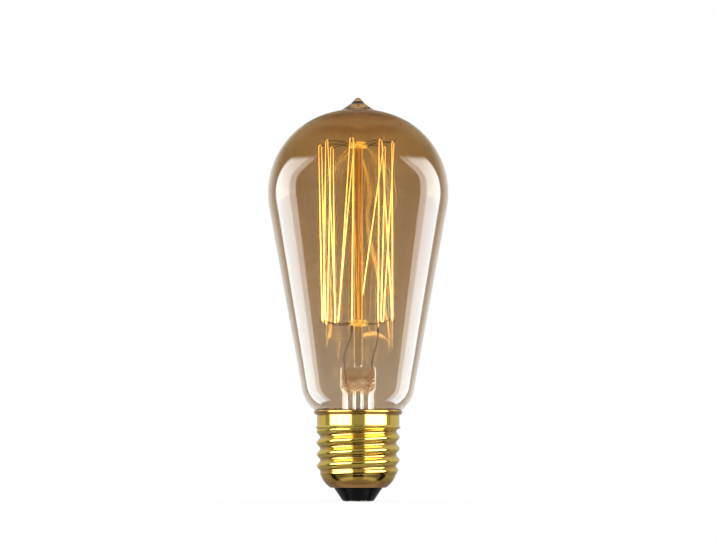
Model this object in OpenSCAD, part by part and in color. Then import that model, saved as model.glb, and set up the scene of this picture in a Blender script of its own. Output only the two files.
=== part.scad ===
// Squirrel-cage filament lamp with a tapered bulb and an E27 screw cap.
// Millimetres, +Z up, origin at the middle of the centre contact's face.

/* [Glass bulb] */
// Largest outside diameter of the bulb
bulb_d = 57.4; // [52:0.1:62]
// Height of the widest level above the cap's rim
bulb_rise = 69.4; // [64:0.1:74]
// Profile radius of the crown, above and below the widest level
crown_r = 26.3; // [24:0.1:28]
// Profile radius of the shoulder above the cap
shoulder_r = 11.4; // [10:0.1:14]
// Slope of the glass from the axis, where it leaves the cap's rim, in degrees
shoulder_slope = 53; // [50:0.5:56]
// Profile radius of the hollow between shoulder and neck
neck_hollow_r = 2; // [1.2:0.1:2.6]
// Depth of the neck inside the cap, below the rim
neck_depth = 4.4; // [3.6:0.1:5.2]
// Wall of the blown glass
glass_wall = 0.7; // [0.5:0.05:0.9]
// Height of the sealed tip above the crown
tip_rise = 4.4; // [3.6:0.05:5]
// Radius of the rounded end of the tip
tip_r = 1.4; // [1.2:0.05:1.6]
// Profile radius of the hollow between tip and crown
tip_hollow_r = 13; // [11:0.1:15]
// Bore left inside the tip
tip_bore_d = 1; // [0.6:0.05:1.4]
// Height of that bore above the inside of the crown
tip_bore_h = 1.6; // [1:0.05:2]

/* [Screw cap] */
// Outside diameter of the thread
thread_major_d = 26.3; // [26.05:0.05:26.45]
// Diameter at the bottom of the thread
thread_minor_d = 24.2; // [23.96:0.01:24.26]
// Rise of the thread in one turn
thread_pitch = 3.629; // [3.6:0.001:3.66]
// Length of the threaded part
thread_h = 14.75; // [14:0.05:16]
// Direction in which the thread starts, in degrees
thread_start = 91; // [0:1:359]
// Wall of the brass shell
shell_wall = 0.3; // [0.2:0.05:0.35]
// Outside diameter of the plain collar above the thread
collar_d = 26; // [25.8:0.05:26.2]
// Height of the collar
collar_h = 4.1; // [3.5:0.1:5]
// How far the turned-out rim stands over the collar
rim_overhang = 0.65; // [0.5:0.05:0.8]
// Height of the rim
rim_h = 1.05; // [0.9:0.05:1.3]
// Radius of the rim's rounded edges
rim_edge_r = 0.25; // [0.15:0.05:0.35]
// Diameter of the flat foot under the shell
foot_d = 18; // [17:0.1:19]
// Height of the curved foot below the thread
foot_h = 4.1; // [3.6:0.1:4.8]
// Profile radius of the curved foot
foot_bow_r = 8; // [6:0.1:12]
// Width and height of the slot in the rim for the side lead
slot_w = 0.8; // [0.6:0.05:1]
// Height of the slot's middle above the end of the glass neck's straight wall
slot_rise = 1.3; // [1.1:0.05:1.4]
// Radius of the solder bead on the slot
rim_bead_r = 0.9; // [0.7:0.05:1]

/* [Cap insulator and contact] */
// Visible height of the black insulator below the brass
insulator_h = 4.15; // [3.5:0.05:5]
// Diameter of the insulator where it leaves the shell
insulator_top_d = 15.4; // [14.5:0.1:16]
// Diameter of the insulator around the contact
insulator_tip_d = 10.2; // [9.8:0.1:11]
// Height of the insulator inside the shell
insulator_plug_h = 2.3; // [1.6:0.1:3]
// Hole through the insulator for the lead
lead_hole_d = 1.8; // [1.4:0.1:2.2]
// Diameter of the centre contact
contact_d = 8.4; // [7.6:0.1:8.8]
// Thickness of the centre contact
contact_t = 0.25; // [0.2:0.01:0.35]
// Diameter of the dish in the middle of the contact
dish_d = 4; // [3.2:0.1:5]
// Depth of that dish
dish_depth = 0.3; // [0.2:0.02:0.4]
// How far the contact's face lies below the insulator
contact_proud = 0.15; // [0.05:0.01:0.2]
// Bevel on the insulator's edge around the contact
insulator_bevel = 0.3; // [0.2:0.05:0.5]

/* [Glass stem] */
// Outside diameter of the flare tube
stem_tube_d = 10; // [9.4:0.1:10.6]
// Wall of the flare tube
stem_wall = 0.7; // [0.5:0.05:0.9]
// Profile radius of the trumpet at the foot of the tube, at mid wall
trumpet_r = 4.7; // [4:0.1:5.2]
// Height of the tube and trumpet, from the neck seal to the pinch
flare_h = 10; // [9:0.1:12]
// Height over which the tube closes into the pinch
closing_h = 2; // [1.5:0.1:3]
// Width of the flat pinch
pinch_w = 11.2; // [10.8:0.1:12]
// Thickness of the flat pinch
pinch_t = 3.8; // [3.6:0.1:4.4]
// Height of the flat pinch
pinch_h = 7.2; // [6.6:0.1:8]
// How far an inner lead reaches down into the pinch
lead_root = 1.2; // [1:0.1:1.6]
// Outside diameter of the exhaust tube
exhaust_d = 3.5; // [3.2:0.1:3.8]
// Bore of the exhaust tube
exhaust_bore_d = 2.2; // [1.8:0.1:2.4]
// Length of the exhaust tube below the pinch
exhaust_l = 21; // [18:0.5:23]
// Height of the exhaust hole's mouth above the foot of the pinch
port_rise = 1.6; // [1.4:0.1:2]
// Diameter of the arbor rod
arbor_d = 3; // [2.6:0.1:3.2]
// Depth of the arbor rod in the pinch
arbor_depth = 3.6; // [3:0.1:3.8]
// Diameter of the two glass beads
bead_d = 6.6; // [6:0.1:7.2]
// Height of the beads
bead_h = 2; // [1.8:0.1:2.4]
// Height of the lower bead's middle above the pinch
lower_bead_rise = 13.1; // [12:0.1:15]
// Height of the upper bead's middle above the lower bead's
bead_spacing = 56.8; // [52:0.1:58]

/* [Filament cage] */
// Diameter of the cage at the upper hooks
upper_cage_d = 23.6; // [21:0.1:25]
// Diameter of the cage at the lower hooks
lower_cage_d = 23.1; // [21:0.1:25]
// How far the hand-bent cage sits off the arbor, to the left
cage_shift = 0.6; // [0:0.1:1]
// Diameter of the support wires
support_d = 0.34; // [0.26:0.01:0.38]
// Depth of a support wire in its bead
support_depth = 1.4; // [1:0.1:1.5]
// Rise of a support wire from its bead to the filament
support_rise = 0.6; // [0.4:0.05:1]
// How far a support wire bows out of its straight line
support_bow = 0.6; // [0.3:0.05:0.9]
// Height of the open curl that keeps the filament on a hook
curl_h = 0.95; // [0.8:0.05:1.2]
// Radius of the bend at the foot of the curl
curl_r = 0.66; // [0.6:0.02:0.75]
// Diameter of the filament
filament_d = 0.25; // [0.2:0.01:0.32]
// Radius of the filament's turn on a hook
turn_r = 0.55; // [0.5:0.01:0.65]

/* [Leads] */
// Diameter of the two inner leads
inner_lead_d = 0.36; // [0.3:0.01:0.44]
// Distance of the inner leads from the axis, where they leave the pinch
lead_x = 4.1; // [3.8:0.05:4.3]
// Width and depth of the clamp at the top of an inner lead
clamp_w = 0.8; // [0.7:0.02:1]
// Height of the clamp
clamp_h = 1.9; // [1.5:0.05:2.4]
// Solid foot of the clamp, below the end of the filament
clamp_foot_h = 0.4; // [0.3:0.05:0.6]
// Diameter of the seal wires in the pinch
seal_wire_d = 0.5; // [0.44:0.01:0.6]
// Diameter of the two outer leads
outer_lead_d = 0.36; // [0.3:0.01:0.4]
// Distance of the outer leads from the axis, under the pinch
outer_lead_x = 3.1; // [2.9:0.05:3.2]

/* [Fits] */
// Gap between fused or pressed pieces
seal_gap = 0.02; // [0.01:0.005:0.03]
// Gap between the glass and the cap's rim
rim_gap = 0.05; // [0.04:0.01:0.08]
// Gap between the insulator and the shell
insulator_gap = 0.06; // [0.05:0.005:0.08]
// Gap between a hook and the filament that it carries
hook_gap = 0.03; // [0.02:0.005:0.05]
// Thickness of the cement between neck and collar
cement_t = 0.8; // [0.6:0.05:1]

/* [Hidden] */
// Where the eight upper hooks and the seven lower hooks stand around the arbor, in degrees
// from the front and in the order in which the filament runs over them. They are hand set.
upper_turns = [-7, -52, -101, -138, -178, -230, -279, -320];
lower_turns = [-31, -65, -124, -146, -181, -226, -280];
// How far each hook stands above its rise from the bead. These too are hand set.
upper_lifts = [-0.3, -0.3, -0.5, -0.2, -0.3, -0.2, 0, -0.4];
lower_lifts = [-0.8, -0.1, -0.1, 0, 0, 0.6, 0.6];
// How far the filament's turn over each upper hook is twisted from square, in degrees
upper_twists = [0, 0, -45, 0, 0, 0, -30, 0];

$fn = 96;
// Points on each rounded stretch of a profile, and on its small edges
arc_steps = 14;
edge_steps = 5;
// Sides of the thin wires and of the thicker leads
wire_sides = 6;
lead_sides = 8;
// Steps along a support wire's bow and around its curl
bow_steps = 4;
curl_steps = 3;
// Facets of the rolled thread around the cap, and its rows in each turn
thread_facets = 44;
rows_per_turn = 8;
// How far one solid reaches into another that it is fused with
weld = 0.3;
// How far a cutting shape reaches past what it cuts
past = 1;

// Levels, from the contact up
foot_z = contact_proud + insulator_h;
thread_z = foot_z + foot_h;
collar_z = thread_z + thread_h;
rim_z = collar_z + collar_h;
cap_top_z = rim_z + rim_h;
seal_z = cap_top_z - neck_depth;
flare_top_z = seal_z + flare_h;
pinch_z = flare_top_z + closing_h;
pinch_top_z = pinch_z + pinch_h;
lower_bead_z = pinch_top_z + lower_bead_rise;
upper_bead_z = lower_bead_z + bead_spacing;
exhaust_top_z = pinch_z - stem_wall;
exhaust_tip_z = exhaust_top_z - exhaust_l;
contact_back_z = dish_depth + contact_t;

// Radii of the cap
collar_r = collar_d / 2;
collar_bore_r = collar_r - shell_wall;
rim_r = collar_r + rim_overhang;
lip_r = rim_r - rim_edge_r;
thread_crest_r = thread_major_d / 2;
thread_root_r = thread_minor_d / 2;
neck_r = collar_bore_r - cement_t;

function unit(v) = v / norm(v);
function arc(centre, r, from, to, steps = arc_steps) =
    [for (i = [0 : steps]) let (a = from + (to - from) * i / steps) centre + r * [cos(a), sin(a)]];
// Where two circles cross, on the right-hand side of the line from c1 to c2
function crossing(c1, r1, c2, r2) =
    let (d = norm(c2 - c1), u = (c2 - c1) / d, along = (r1 * r1 - r2 * r2 + d * d) / (2 * d),
         off = sqrt(r1 * r1 - along * along))
    c1 + along * u + off * [u.y, -u.x];
function bezier(p, t) = pow(1 - t, 3) * p[0] + 3 * t * pow(1 - t, 2) * p[1]
    + 3 * t * t * (1 - t) * p[2] + pow(t, 3) * p[3];

// Round wire along a path, as one closed polyhedron
function directions(p) =
    let (last = len(p) - 1)
    [for (i = [0 : last]) unit((i == 0 ? [0, 0, 0] : unit(p[i] - p[i - 1]))
        + (i == last ? [0, 0, 0] : unit(p[i + 1] - p[i])))];
function carried_sides(dirs, side, i = 0) =
    i == len(dirs) ? [] :
    let (s = unit(side - (side * dirs[i]) * dirs[i]))
    concat([s], carried_sides(dirs, s, i + 1));
module wire(path, d, sides) {
    dirs = directions(path);
    across = carried_sides(dirs, abs(dirs[0].z) < 0.9 ? [0, 0, 1] : [1, 0, 0]);
    last = len(path) - 1;
    rings = [for (i = [0 : last]) for (k = [0 : sides - 1])
        let (a = 360 * k / sides, s = across[i], c = cross(dirs[i], s))
        path[i] + d / 2 * (cos(a) * s + sin(a) * c)];
    tube = [for (i = [0 : last - 1]) for (k = [0 : sides - 1])
        let (n = (k + 1) % sides, a = i * sides, b = a + sides)
        each [[a + k, b + k, a + n], [a + n, b + k, b + n]]];
    ends = [for (k = [1 : sides - 2]) each [[0, k, k + 1],
        [last * sides, last * sides + k + 1, last * sides + k]]];
    polyhedron(points = rings, faces = concat(tube, ends));
}

// Outline of the bulb, bottom to top, at a depth inside the outer surface
crown_c = [bulb_d / 2 - crown_r, cap_top_z + bulb_rise];
// The shoulder stands off the rim by rim_gap, and the cone runs from its circle to the crown's
shoulder_c = [lip_r - rim_gap, cap_top_z]
    - shoulder_r * [cos(shoulder_slope), -sin(shoulder_slope)];
crown_way = crown_c - shoulder_c;
cone_angle = acos((shoulder_r - crown_r) / norm(crown_way)) - atan2(crown_way.y, crown_way.x);
neck_c = [neck_r + neck_hollow_r, shoulder_c.y
    - sqrt(pow(shoulder_r + neck_hollow_r, 2) - pow(neck_r + neck_hollow_r - shoulder_c.x, 2))];
neck_angle = atan2(neck_c.y - shoulder_c.y, neck_c.x - shoulder_c.x);
crown_z = crown_c.y + sqrt(pow(crown_r, 2) - pow(crown_c.x, 2));
tip_c = [0, crown_z + tip_rise - tip_r];
tip_hollow_c = crossing(crown_c, crown_r + tip_hollow_r, tip_c, tip_r + tip_hollow_r);
crown_angle = atan2(tip_hollow_c.y - crown_c.y, tip_hollow_c.x - crown_c.x);
tip_angle = atan2(tip_hollow_c.y - tip_c.y, tip_hollow_c.x - tip_c.x);
function body_outline(depth, top_angle) = concat(
    [[neck_r - depth, seal_z]],
    arc(neck_c, neck_hollow_r + depth, 180, 180 + neck_angle),
    arc(shoulder_c, shoulder_r - depth, neck_angle, -cone_angle),
    arc(crown_c, crown_r - depth, -cone_angle, top_angle, 2 * arc_steps));
function tip_outline() = concat(
    arc(tip_hollow_c, tip_hollow_r, crown_angle + 180, tip_angle + 180),
    arc(tip_c, tip_r, tip_angle, 90));
inner_crown_r = crown_r - glass_wall;
tip_bore_angle = acos((tip_bore_d / 2 - crown_c.x) / inner_crown_r);
inner_crown_z = crown_c.y + inner_crown_r * sin(tip_bore_angle);

module glass_envelope() {
    outer = concat(body_outline(0, crown_angle), tip_outline());
    inner = concat(body_outline(glass_wall, tip_bore_angle),
        [[tip_bore_d / 2, inner_crown_z + tip_bore_h - tip_bore_d / 2]],
        [[0, inner_crown_z + tip_bore_h]]);
    color([0.55, 0.4, 0.22, 0.35])
        rotate_extrude()
            polygon(concat(outer, [for (i = [len(inner) - 1 : -1 : 0]) inner[i]]));
}

// Flare tube: trumpet sealed to the neck, tube, and the pinch that its top is pressed into
tube_r = stem_tube_d / 2;
tube_bore_r = tube_r - stem_wall;
trumpet_c = [tube_r - stem_wall / 2 + trumpet_r, seal_z - stem_wall / 2 + trumpet_r];
module trumpet_and_tube() {
    half = stem_wall / 2;
    rotate_extrude()
        polygon(concat(
            [[tube_bore_r, flare_top_z], [tube_r, flare_top_z]],
            arc(trumpet_c, trumpet_r - half, 180, 270),
            [[neck_r, seal_z], [neck_r, seal_z - stem_wall]],
            arc(trumpet_c, trumpet_r + half, 270, 180)));
}
module pinch_outline(inset) {
    end_r = pinch_t / 2 - inset;
    for (side = [-1, 1])
        translate([side * (pinch_w / 2 - pinch_t / 2), 0])
            circle(end_r, $fn = 32);
    square([pinch_w - pinch_t, 2 * end_r], center = true);
}
module closing(inset) {
    // Its foot lies inside the tube's wall, so the two are one piece
    tuck = stem_wall / 4;
    foot_r = inset > 0 ? tube_bore_r + tuck : tube_r - tuck;
    hull() {
        translate([0, 0, flare_top_z - weld])
            cylinder(weld, r = foot_r, $fn = 32);
        translate([0, 0, pinch_z - inset])
            linear_extrude(seal_gap)
                pinch_outline(inset);
    }
}
module pinch_block() {
    corner_r = pinch_t / 2;
    intersection() {
        translate([0, 0, pinch_z])
            linear_extrude(pinch_h)
                pinch_outline(0);
        union() {
            translate([-pinch_w / 2, -pinch_t, pinch_z - weld])
                cube([pinch_w, 2 * pinch_t, pinch_h - corner_r + weld]);
            translate([corner_r - pinch_w / 2, -pinch_t, pinch_z])
                cube([pinch_w - pinch_t, 2 * pinch_t, pinch_h]);
            for (side = [-1, 1])
                translate([side * (pinch_w / 2 - corner_r), 0, pinch_top_z - corner_r])
                    rotate([90, 0, 0])
                        cylinder(2 * pinch_t, r = corner_r, center = true);
        }
    }
}
// A seal wire leans from the outer lead below the pinch to the inner lead above it
seal_top_z = pinch_top_z - lead_root;
seal_foot_z = pinch_z - stem_wall;
seal_lean = atan2(lead_x - outer_lead_x, seal_top_z - seal_foot_z);
seal_l = norm([lead_x - outer_lead_x, seal_top_z - seal_foot_z]);
function seal_point(side, z) = [side * (outer_lead_x + (z - seal_foot_z) * tan(seal_lean)), 0, z];
module along_seal(side, d, spare) {
    translate([side * outer_lead_x, 0, seal_foot_z])
        rotate([0, side * seal_lean, 0])
            translate([0, 0, -spare])
                cylinder(seal_l + 2 * spare, d = d);
}
module stem_flare() {
    color([0.85, 0.82, 0.75, 0.5])
        difference() {
            union() {
                trumpet_and_tube();
                difference() {
                    closing(0);
                    closing(stem_wall);
                }
                pinch_block();
            }
            translate([0, 0, pinch_top_z - arbor_depth - seal_gap])
                cylinder(pinch_h, d = arbor_d + 2 * seal_gap);
            for (side = [-1, 1])
                along_seal(side, seal_wire_d + 2 * seal_gap, pinch_h / 2);
            // Seat of the exhaust tube, and the exhaust hole up from it and out through the front
            translate([0, 0, flare_top_z - weld])
                cylinder(exhaust_top_z + seal_gap - flare_top_z + weld, d = exhaust_d + 2 * seal_gap);
            translate([0, 0, exhaust_top_z])
                cylinder(pinch_z + port_rise - exhaust_top_z, d = exhaust_bore_d);
            translate([0, 0, pinch_z + port_rise])
                rotate([90, 0, 0])
                    cylinder(pinch_t, d = exhaust_bore_d);
        }
}

module exhaust_tube() {
    r = exhaust_d / 2;
    bore_r = exhaust_bore_d / 2;
    color([0.85, 0.82, 0.75, 0.5])
        rotate_extrude()
            polygon(concat(
                arc([0, exhaust_tip_z + r], r, -90, 0),
                [[r, exhaust_top_z], [bore_r, exhaust_top_z]],
                arc([0, exhaust_tip_z + r], bore_r, 0, -90)));
}

module arbor_rod() {
    foot = pinch_top_z - arbor_depth;
    color([0.9, 0.75, 0.4, 0.5])
        translate([0, 0, foot])
            cylinder(upper_bead_z - foot, d = arbor_d);
}

// A hook's place in the cage, and its direction from the arbor
function cage_point(turn, d, z) = [d / 2 * sin(turn) - cage_shift, -d / 2 * cos(turn), z];
function upper_seat(i) =
    cage_point(upper_turns[i], upper_cage_d, upper_bead_z + support_rise + upper_lifts[i]);
function lower_seat(i) =
    cage_point(lower_turns[i], lower_cage_d, lower_bead_z + support_rise + lower_lifts[i]);
function level_dir(p) = unit([p.x, p.y, 0]);

module bead(z, seats, through) {
    edge_r = bead_h / 2;
    color([0.95, 0.8, 0.4, 0.6])
        difference() {
            translate([0, 0, z])
                rotate_extrude()
                    polygon(concat(
                        [[0, -edge_r]],
                        arc([bead_d / 2 - edge_r, 0], edge_r, -90, 90),
                        [[0, edge_r]]));
            translate([0, 0, z - bead_h])
                cylinder(through ? 2 * bead_h : bead_h + seal_gap, d = arbor_d + 2 * seal_gap);
            for (seat = seats)
                translate([0, 0, z])
                    rotate([0, 0, atan2(seat.y, seat.x)])
                        translate([bead_d / 2 - support_depth - seal_gap, 0, 0])
                            rotate([0, 90, 0])
                                cylinder(bead_d, d = support_d + 2 * seal_gap);
        }
}
module lower_bead() {
    bead(lower_bead_z, [for (i = [0 : len(lower_turns) - 1]) lower_seat(i)], true);
}
module upper_bead() {
    bead(upper_bead_z, [for (i = [0 : len(upper_turns) - 1]) upper_seat(i)], false);
}

// Support wire from its bead out to the filament. It bows out of line on the way, runs level
// under the filament and ends in an open curl: upwards on an upper hook, downwards on a lower one.
module support(bead_z, seat, up) {
    out = level_dir(seat);
    reach = norm([seat.x, seat.y]);
    root = bead_d / 2 - support_depth;
    clear = bead_d / 2 + support_d;
    lift = seat.z - bead_z;
    run = reach - turn_r - clear;
    bow = [for (k = [0 : bow_steps]) let (t = k / bow_steps)
        [clear + t * run, t * lift + up * support_bow * sin(180 * t)]];
    curl = [for (k = [0 : curl_steps]) let (a = 90 * k / curl_steps)
        [reach + curl_r * sin(a), lift + up * curl_r * (1 - cos(a))]];
    profile = concat([[root, 0]], bow, curl, [[reach + curl_r, lift + up * curl_h]]);
    color([0.35, 0.25, 0.2])
        wire([for (p = profile) p.x * out + [0, 0, bead_z + p.y]], support_d, wire_sides);
}
module upper_hook(i) {
    support(upper_bead_z, upper_seat(i), 1);
}
module lower_hook(i) {
    support(lower_bead_z, lower_seat(i), -1);
}

// The clamps on the two ends of the filament. Their leads are bent by hand, so their places are
// hand set too: across, forward, and down from the lower bead.
left_clamp = [-1.95, -10.5, lower_bead_z - 3.2];
right_clamp = [6.2, -8.6, lower_bead_z - 3.8];
// The filament: up from the left clamp, over and under the hooks in turn, down to the right one.
// Its ends stand straight in the clamps and for a little way above them.
straight_end = 0.6;
turn_steps = 6;
turn_drop = (filament_d + support_d) / 2 + hook_gap - turn_r;
function turn_arc(seat, up, twist) =
    let (out = level_dir(seat), on = cos(twist) * [out.y, -out.x, 0] + sin(twist) * out,
         c = seat + [0, 0, up * turn_drop])
    [for (k = [0 : turn_steps]) let (a = 180 * k / turn_steps)
        c + turn_r * (-cos(a) * on + up * sin(a) * [0, 0, 1])];
function clamp_end(clamp) =
    [clamp + [0, 0, clamp_foot_h], clamp + [0, 0, clamp_h + straight_end]];
filament_path = concat(
    clamp_end(left_clamp),
    [for (i = [0 : len(upper_turns) - 1])
        each concat(turn_arc(upper_seat(i), 1, upper_twists[i]),
            i < len(lower_turns) ? turn_arc(lower_seat(i), -1, 0) : [])],
    [for (i = [1, 0]) clamp_end(right_clamp)[i]]);
module filament() {
    color([1, 0.75, 0.3])
        wire(filament_path, filament_d, wire_sides);
}

// An inner lead leaves the pinch upwards, leans out by its bow and comes up under its clamp
lead_pull = 3;
lead_steps = 10;
module inner_lead(side, clamp, bow) {
    root = seal_point(side, seal_top_z + seal_gap);
    exit = seal_point(side, pinch_top_z + inner_lead_d);
    under = clamp + [0, 1, -lead_pull];
    top = clamp + [0, 0, clamp_foot_h / 4];
    run = [for (k = [0 : lead_steps])
        bezier([exit, exit + [side * bow, 0, lead_pull], under, top], k / lead_steps)];
    color([0.3, 0.26, 0.22]) {
        wire(concat([root], run), inner_lead_d, lead_sides);
        difference() {
            translate(clamp + [-clamp_w / 2, -clamp_w / 2, 0])
                cube([clamp_w, clamp_w, clamp_h]);
            translate(clamp + [0, 0, clamp_foot_h - hook_gap])
                cylinder(clamp_h, d = filament_d + 2 * hook_gap);
        }
    }
}
module seal_wire(side) {
    color([0.7, 0.25, 0.15])
        along_seal(side, seal_wire_d, -seal_gap);
}

// Outer leads, bent by hand: the left one runs down past the exhaust tube to the contact, the
// right one back under the flare, up the groove in the cement and out through the slot
groove_r = (neck_r + collar_bore_r + 2 * outer_lead_d / 3) / 2;
slot_z = neck_c.y + slot_rise;
lead_start_z = seal_foot_z - seal_gap;
under_flare_z = seal_z - stem_wall - slot_w;
left_run = [[-outer_lead_x, 0, lead_start_z], [-outer_lead_x, 0, exhaust_tip_z + 2],
    [-2.4, 0, exhaust_tip_z - 0.6], [-0.8, 0, exhaust_tip_z - 2.2],
    [0, 0, exhaust_tip_z - 4], [0, 0, contact_back_z + seal_gap]];
right_run = [[outer_lead_x, 0, lead_start_z], [outer_lead_x, 0, seal_z + 2],
    [outer_lead_x + 0.3, 1.2, seal_z - 0.4], [3, 5, under_flare_z], [1.2, 9.6, under_flare_z],
    [0.2, groove_r - 0.6, under_flare_z + 0.1], [0, groove_r, under_flare_z + 0.9],
    [0, groove_r, slot_z - 0.5], [0, groove_r + 0.12, slot_z - 0.32],
    [0, groove_r + 0.35, slot_z - 0.1], [0, groove_r + 0.7, slot_z],
    [0, rim_r - outer_lead_d / 6, slot_z]];
module outer_lead(run) {
    color([0.8, 0.45, 0.2])
        wire(run, outer_lead_d, lead_sides);
}

module basing_cement() {
    foot = seal_z - stem_wall;
    height = neck_c.y - foot;
    color([0.8, 0.75, 0.65])
        difference() {
            translate([0, 0, foot])
                cylinder(height, r = collar_bore_r - seal_gap);
            translate([0, 0, foot - past])
                cylinder(height + 2 * past, r = neck_r + seal_gap);
            // Groove for the side lead
            translate([-slot_w / 2, groove_r - slot_w / 2, foot - past])
                cube([slot_w, cement_t + slot_w, height + 2 * past]);
        }
}

// Curved foot of the shell, as a circle through its two ends
foot_from = [foot_d / 2, foot_z];
foot_to = [thread_root_r, thread_z];
foot_chord = foot_to - foot_from;
foot_c = (foot_from + foot_to) / 2
    + sqrt(pow(foot_bow_r, 2) - pow(norm(foot_chord) / 2, 2)) * unit([-foot_chord.y, foot_chord.x]);
function foot_angle(p) = atan2(p.y - foot_c.y, p.x - foot_c.x);
function foot_arc(depth) = arc(foot_c, foot_bow_r - depth, foot_angle(foot_from),
    foot_angle(foot_to), edge_steps + 1);

// Height of the thread's outer surface over the root, for a place on the shell
thread_swell = thread_crest_r - thread_root_r;
run_in = thread_pitch / 2;
run_out = thread_pitch / 4;
neck_in_r = collar_r - shell_wall / 4;
function ramp(x) = max(0, min(1, x));
function thread_r(z, turn) =
    let (phase = 360 * (z - thread_z - thread_pitch * turn / 360) / thread_pitch,
         shaped = thread_root_r + thread_swell * ramp((z - thread_z) / run_in)
             * (0.5 - 0.5 * cos(phase)),
         close = ramp((z - collar_z + run_out) / run_out))
    shaped + close * (neck_in_r - shaped);
module threaded_shell() {
    rows = ceil(thread_h / thread_pitch * rows_per_turn);
    hole_r = insulator_top_d / 2 + insulator_gap;
    neck_in = shell_wall / 2;
    foot_out = foot_arc(0);
    foot_in = foot_arc(shell_wall);
    // Each ring of the wall: height, and the fixed radius or the depth under the thread
    out_rings = concat([[hole_r, foot_z, false]],
        [for (p = foot_out) [p.x, p.y, false]],
        [for (i = [1 : rows]) [0, thread_z + thread_h * i / rows, true]],
        [[neck_in_r, collar_z + weld, false]]);
    in_rings = concat([[neck_in_r - neck_in, collar_z + weld, false]],
        [for (i = [rows : -1 : 1]) [i == rows ? neck_in : shell_wall,
            thread_z + thread_h * i / rows, true]],
        [for (i = [len(foot_in) - 1 : -1 : 0]) [foot_in[i].x, foot_in[i].y, false]],
        [[hole_r, foot_z + shell_wall, false]]);
    rings = concat(out_rings, in_rings);
    count = len(rings);
    points = [for (ring = rings) for (k = [0 : thread_facets - 1])
        let (turn = 360 * k / thread_facets,
             r = ring[2] ? thread_r(ring[1], turn) - ring[0] : ring[0])
        [r * cos(turn), r * sin(turn), ring[1]]];
    faces = [for (i = [0 : count - 1]) for (k = [0 : thread_facets - 1])
        let (n = (k + 1) % thread_facets, a = i * thread_facets,
             b = ((i + 1) % count) * thread_facets)
        each [[a + k, b + k, a + n], [a + n, b + k, b + n]]];
    polyhedron(points = points, faces = faces);
}
module collar_and_rim() {
    edge_c = rim_r - rim_edge_r;
    rotate_extrude()
        polygon(concat(
            [[collar_bore_r, collar_z], [collar_r, collar_z], [collar_r, rim_z]],
            arc([edge_c, rim_z + rim_edge_r], rim_edge_r, -90, 0, edge_steps),
            arc([edge_c, cap_top_z - rim_edge_r], rim_edge_r, 0, 90, edge_steps),
            [[lip_r, cap_top_z - rim_edge_r], [lip_r, rim_z + shell_wall], [collar_bore_r, rim_z]]));
}
module screw_shell() {
    color([0.85, 0.68, 0.22])
        difference() {
            union() {
                rotate([0, 0, thread_start])
                    threaded_shell();
                collar_and_rim();
            }
            // Slot for the side lead
            translate([-slot_w / 2, collar_r - slot_w, slot_z - slot_w / 2])
                cube([slot_w, 2 * slot_w + rim_r - collar_r, slot_w]);
        }
}

module cap_insulator() {
    plug_top = foot_z + insulator_plug_h;
    plug_foot = foot_z + shell_wall + insulator_gap;
    hole_r = lead_hole_d / 2;
    seat_r = contact_d / 2 + seal_gap;
    seat_z = contact_back_z + seal_gap;
    tip_r = insulator_tip_d / 2;
    top_r = insulator_top_d / 2;
    // Inside the shell it follows the curved foot
    inner_foot = arc(foot_c, foot_bow_r - shell_wall - insulator_gap, foot_angle(foot_from),
        foot_angle(foot_to));
    wall = [for (p = inner_foot) if (p.y > plug_foot && p.y < plug_top) p];
    color([0.06, 0.06, 0.06])
        rotate_extrude()
            polygon(concat(
                [[hole_r, seat_z], [seat_r, seat_z], [seat_r, contact_proud],
                 [tip_r - insulator_bevel, contact_proud], [tip_r, contact_proud + insulator_bevel],
                 [top_r, foot_z], [top_r, plug_foot]],
                wall,
                [[wall[len(wall) - 1].x, plug_top], [hole_r, plug_top]]));
}

module centre_contact() {
    r = contact_d / 2;
    dish_r = dish_d / 2;
    hole_r = lead_hole_d / 2;
    color([0.75, 0.7, 0.6])
        rotate_extrude()
            polygon([[hole_r, dish_depth], [dish_r - dish_depth, dish_depth], [dish_r, 0],
                [r - dish_depth / 2, 0], [r, dish_depth / 2], [r, contact_back_z],
                [hole_r, contact_back_z]]);
}
// Fills the contact's hole and spreads in the dish around it, flush with the contact's face
module contact_solder() {
    hole_r = lead_hole_d / 2 - seal_gap;
    floor_z = dish_depth - seal_gap;
    spread_r = dish_d / 2 - dish_depth - seal_gap;
    flat_r = (hole_r + spread_r) / 2;
    edge = [for (k = [0 : edge_steps]) let (a = 90 * k / edge_steps)
        [flat_r + (spread_r - flat_r) * sin(a), floor_z * (1 - cos(a))]];
    color([0.7, 0.7, 0.7])
        rotate_extrude()
            polygon(concat([[0, 0]], edge, [[hole_r, floor_z], [hole_r, contact_back_z],
                [0, contact_back_z]]));
}
module rim_solder() {
    color([0.7, 0.7, 0.7])
        difference() {
            translate([0, rim_r, slot_z - rim_bead_r / 6])
                sphere(rim_bead_r, $fn = 32);
            translate([0, 0, slot_z - 2 * rim_bead_r])
                cylinder(4 * rim_bead_r, r = rim_r + seal_gap);
            translate([0, 0, cap_top_z - seal_gap])
                cylinder(2 * rim_bead_r, r = 2 * rim_r);
        }
}

glass_envelope();
stem_flare();
exhaust_tube();
arbor_rod();
lower_bead();
upper_bead();
for (i = [1 : len(upper_turns)])
    upper_hook(i - 1);
for (i = [1 : len(lower_turns)])
    lower_hook(i - 1);
filament();
inner_lead(-1, left_clamp, 1.2);  // inner_lead_left
inner_lead(1, right_clamp, 0.2);  // inner_lead_right
seal_wire(-1);  // seal_wire_left
seal_wire(1);  // seal_wire_right
outer_lead(left_run);  // outer_lead_left
outer_lead(right_run);  // outer_lead_right
basing_cement();
screw_shell();
cap_insulator();
centre_contact();
contact_solder();
rim_solder();
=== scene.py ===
"""Squirrel-cage filament lamp: its finished pieces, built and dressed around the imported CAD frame."""

import logging
import math
from collections.abc import Callable, Sequence
from dataclasses import dataclass, replace
from enum import Enum

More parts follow.
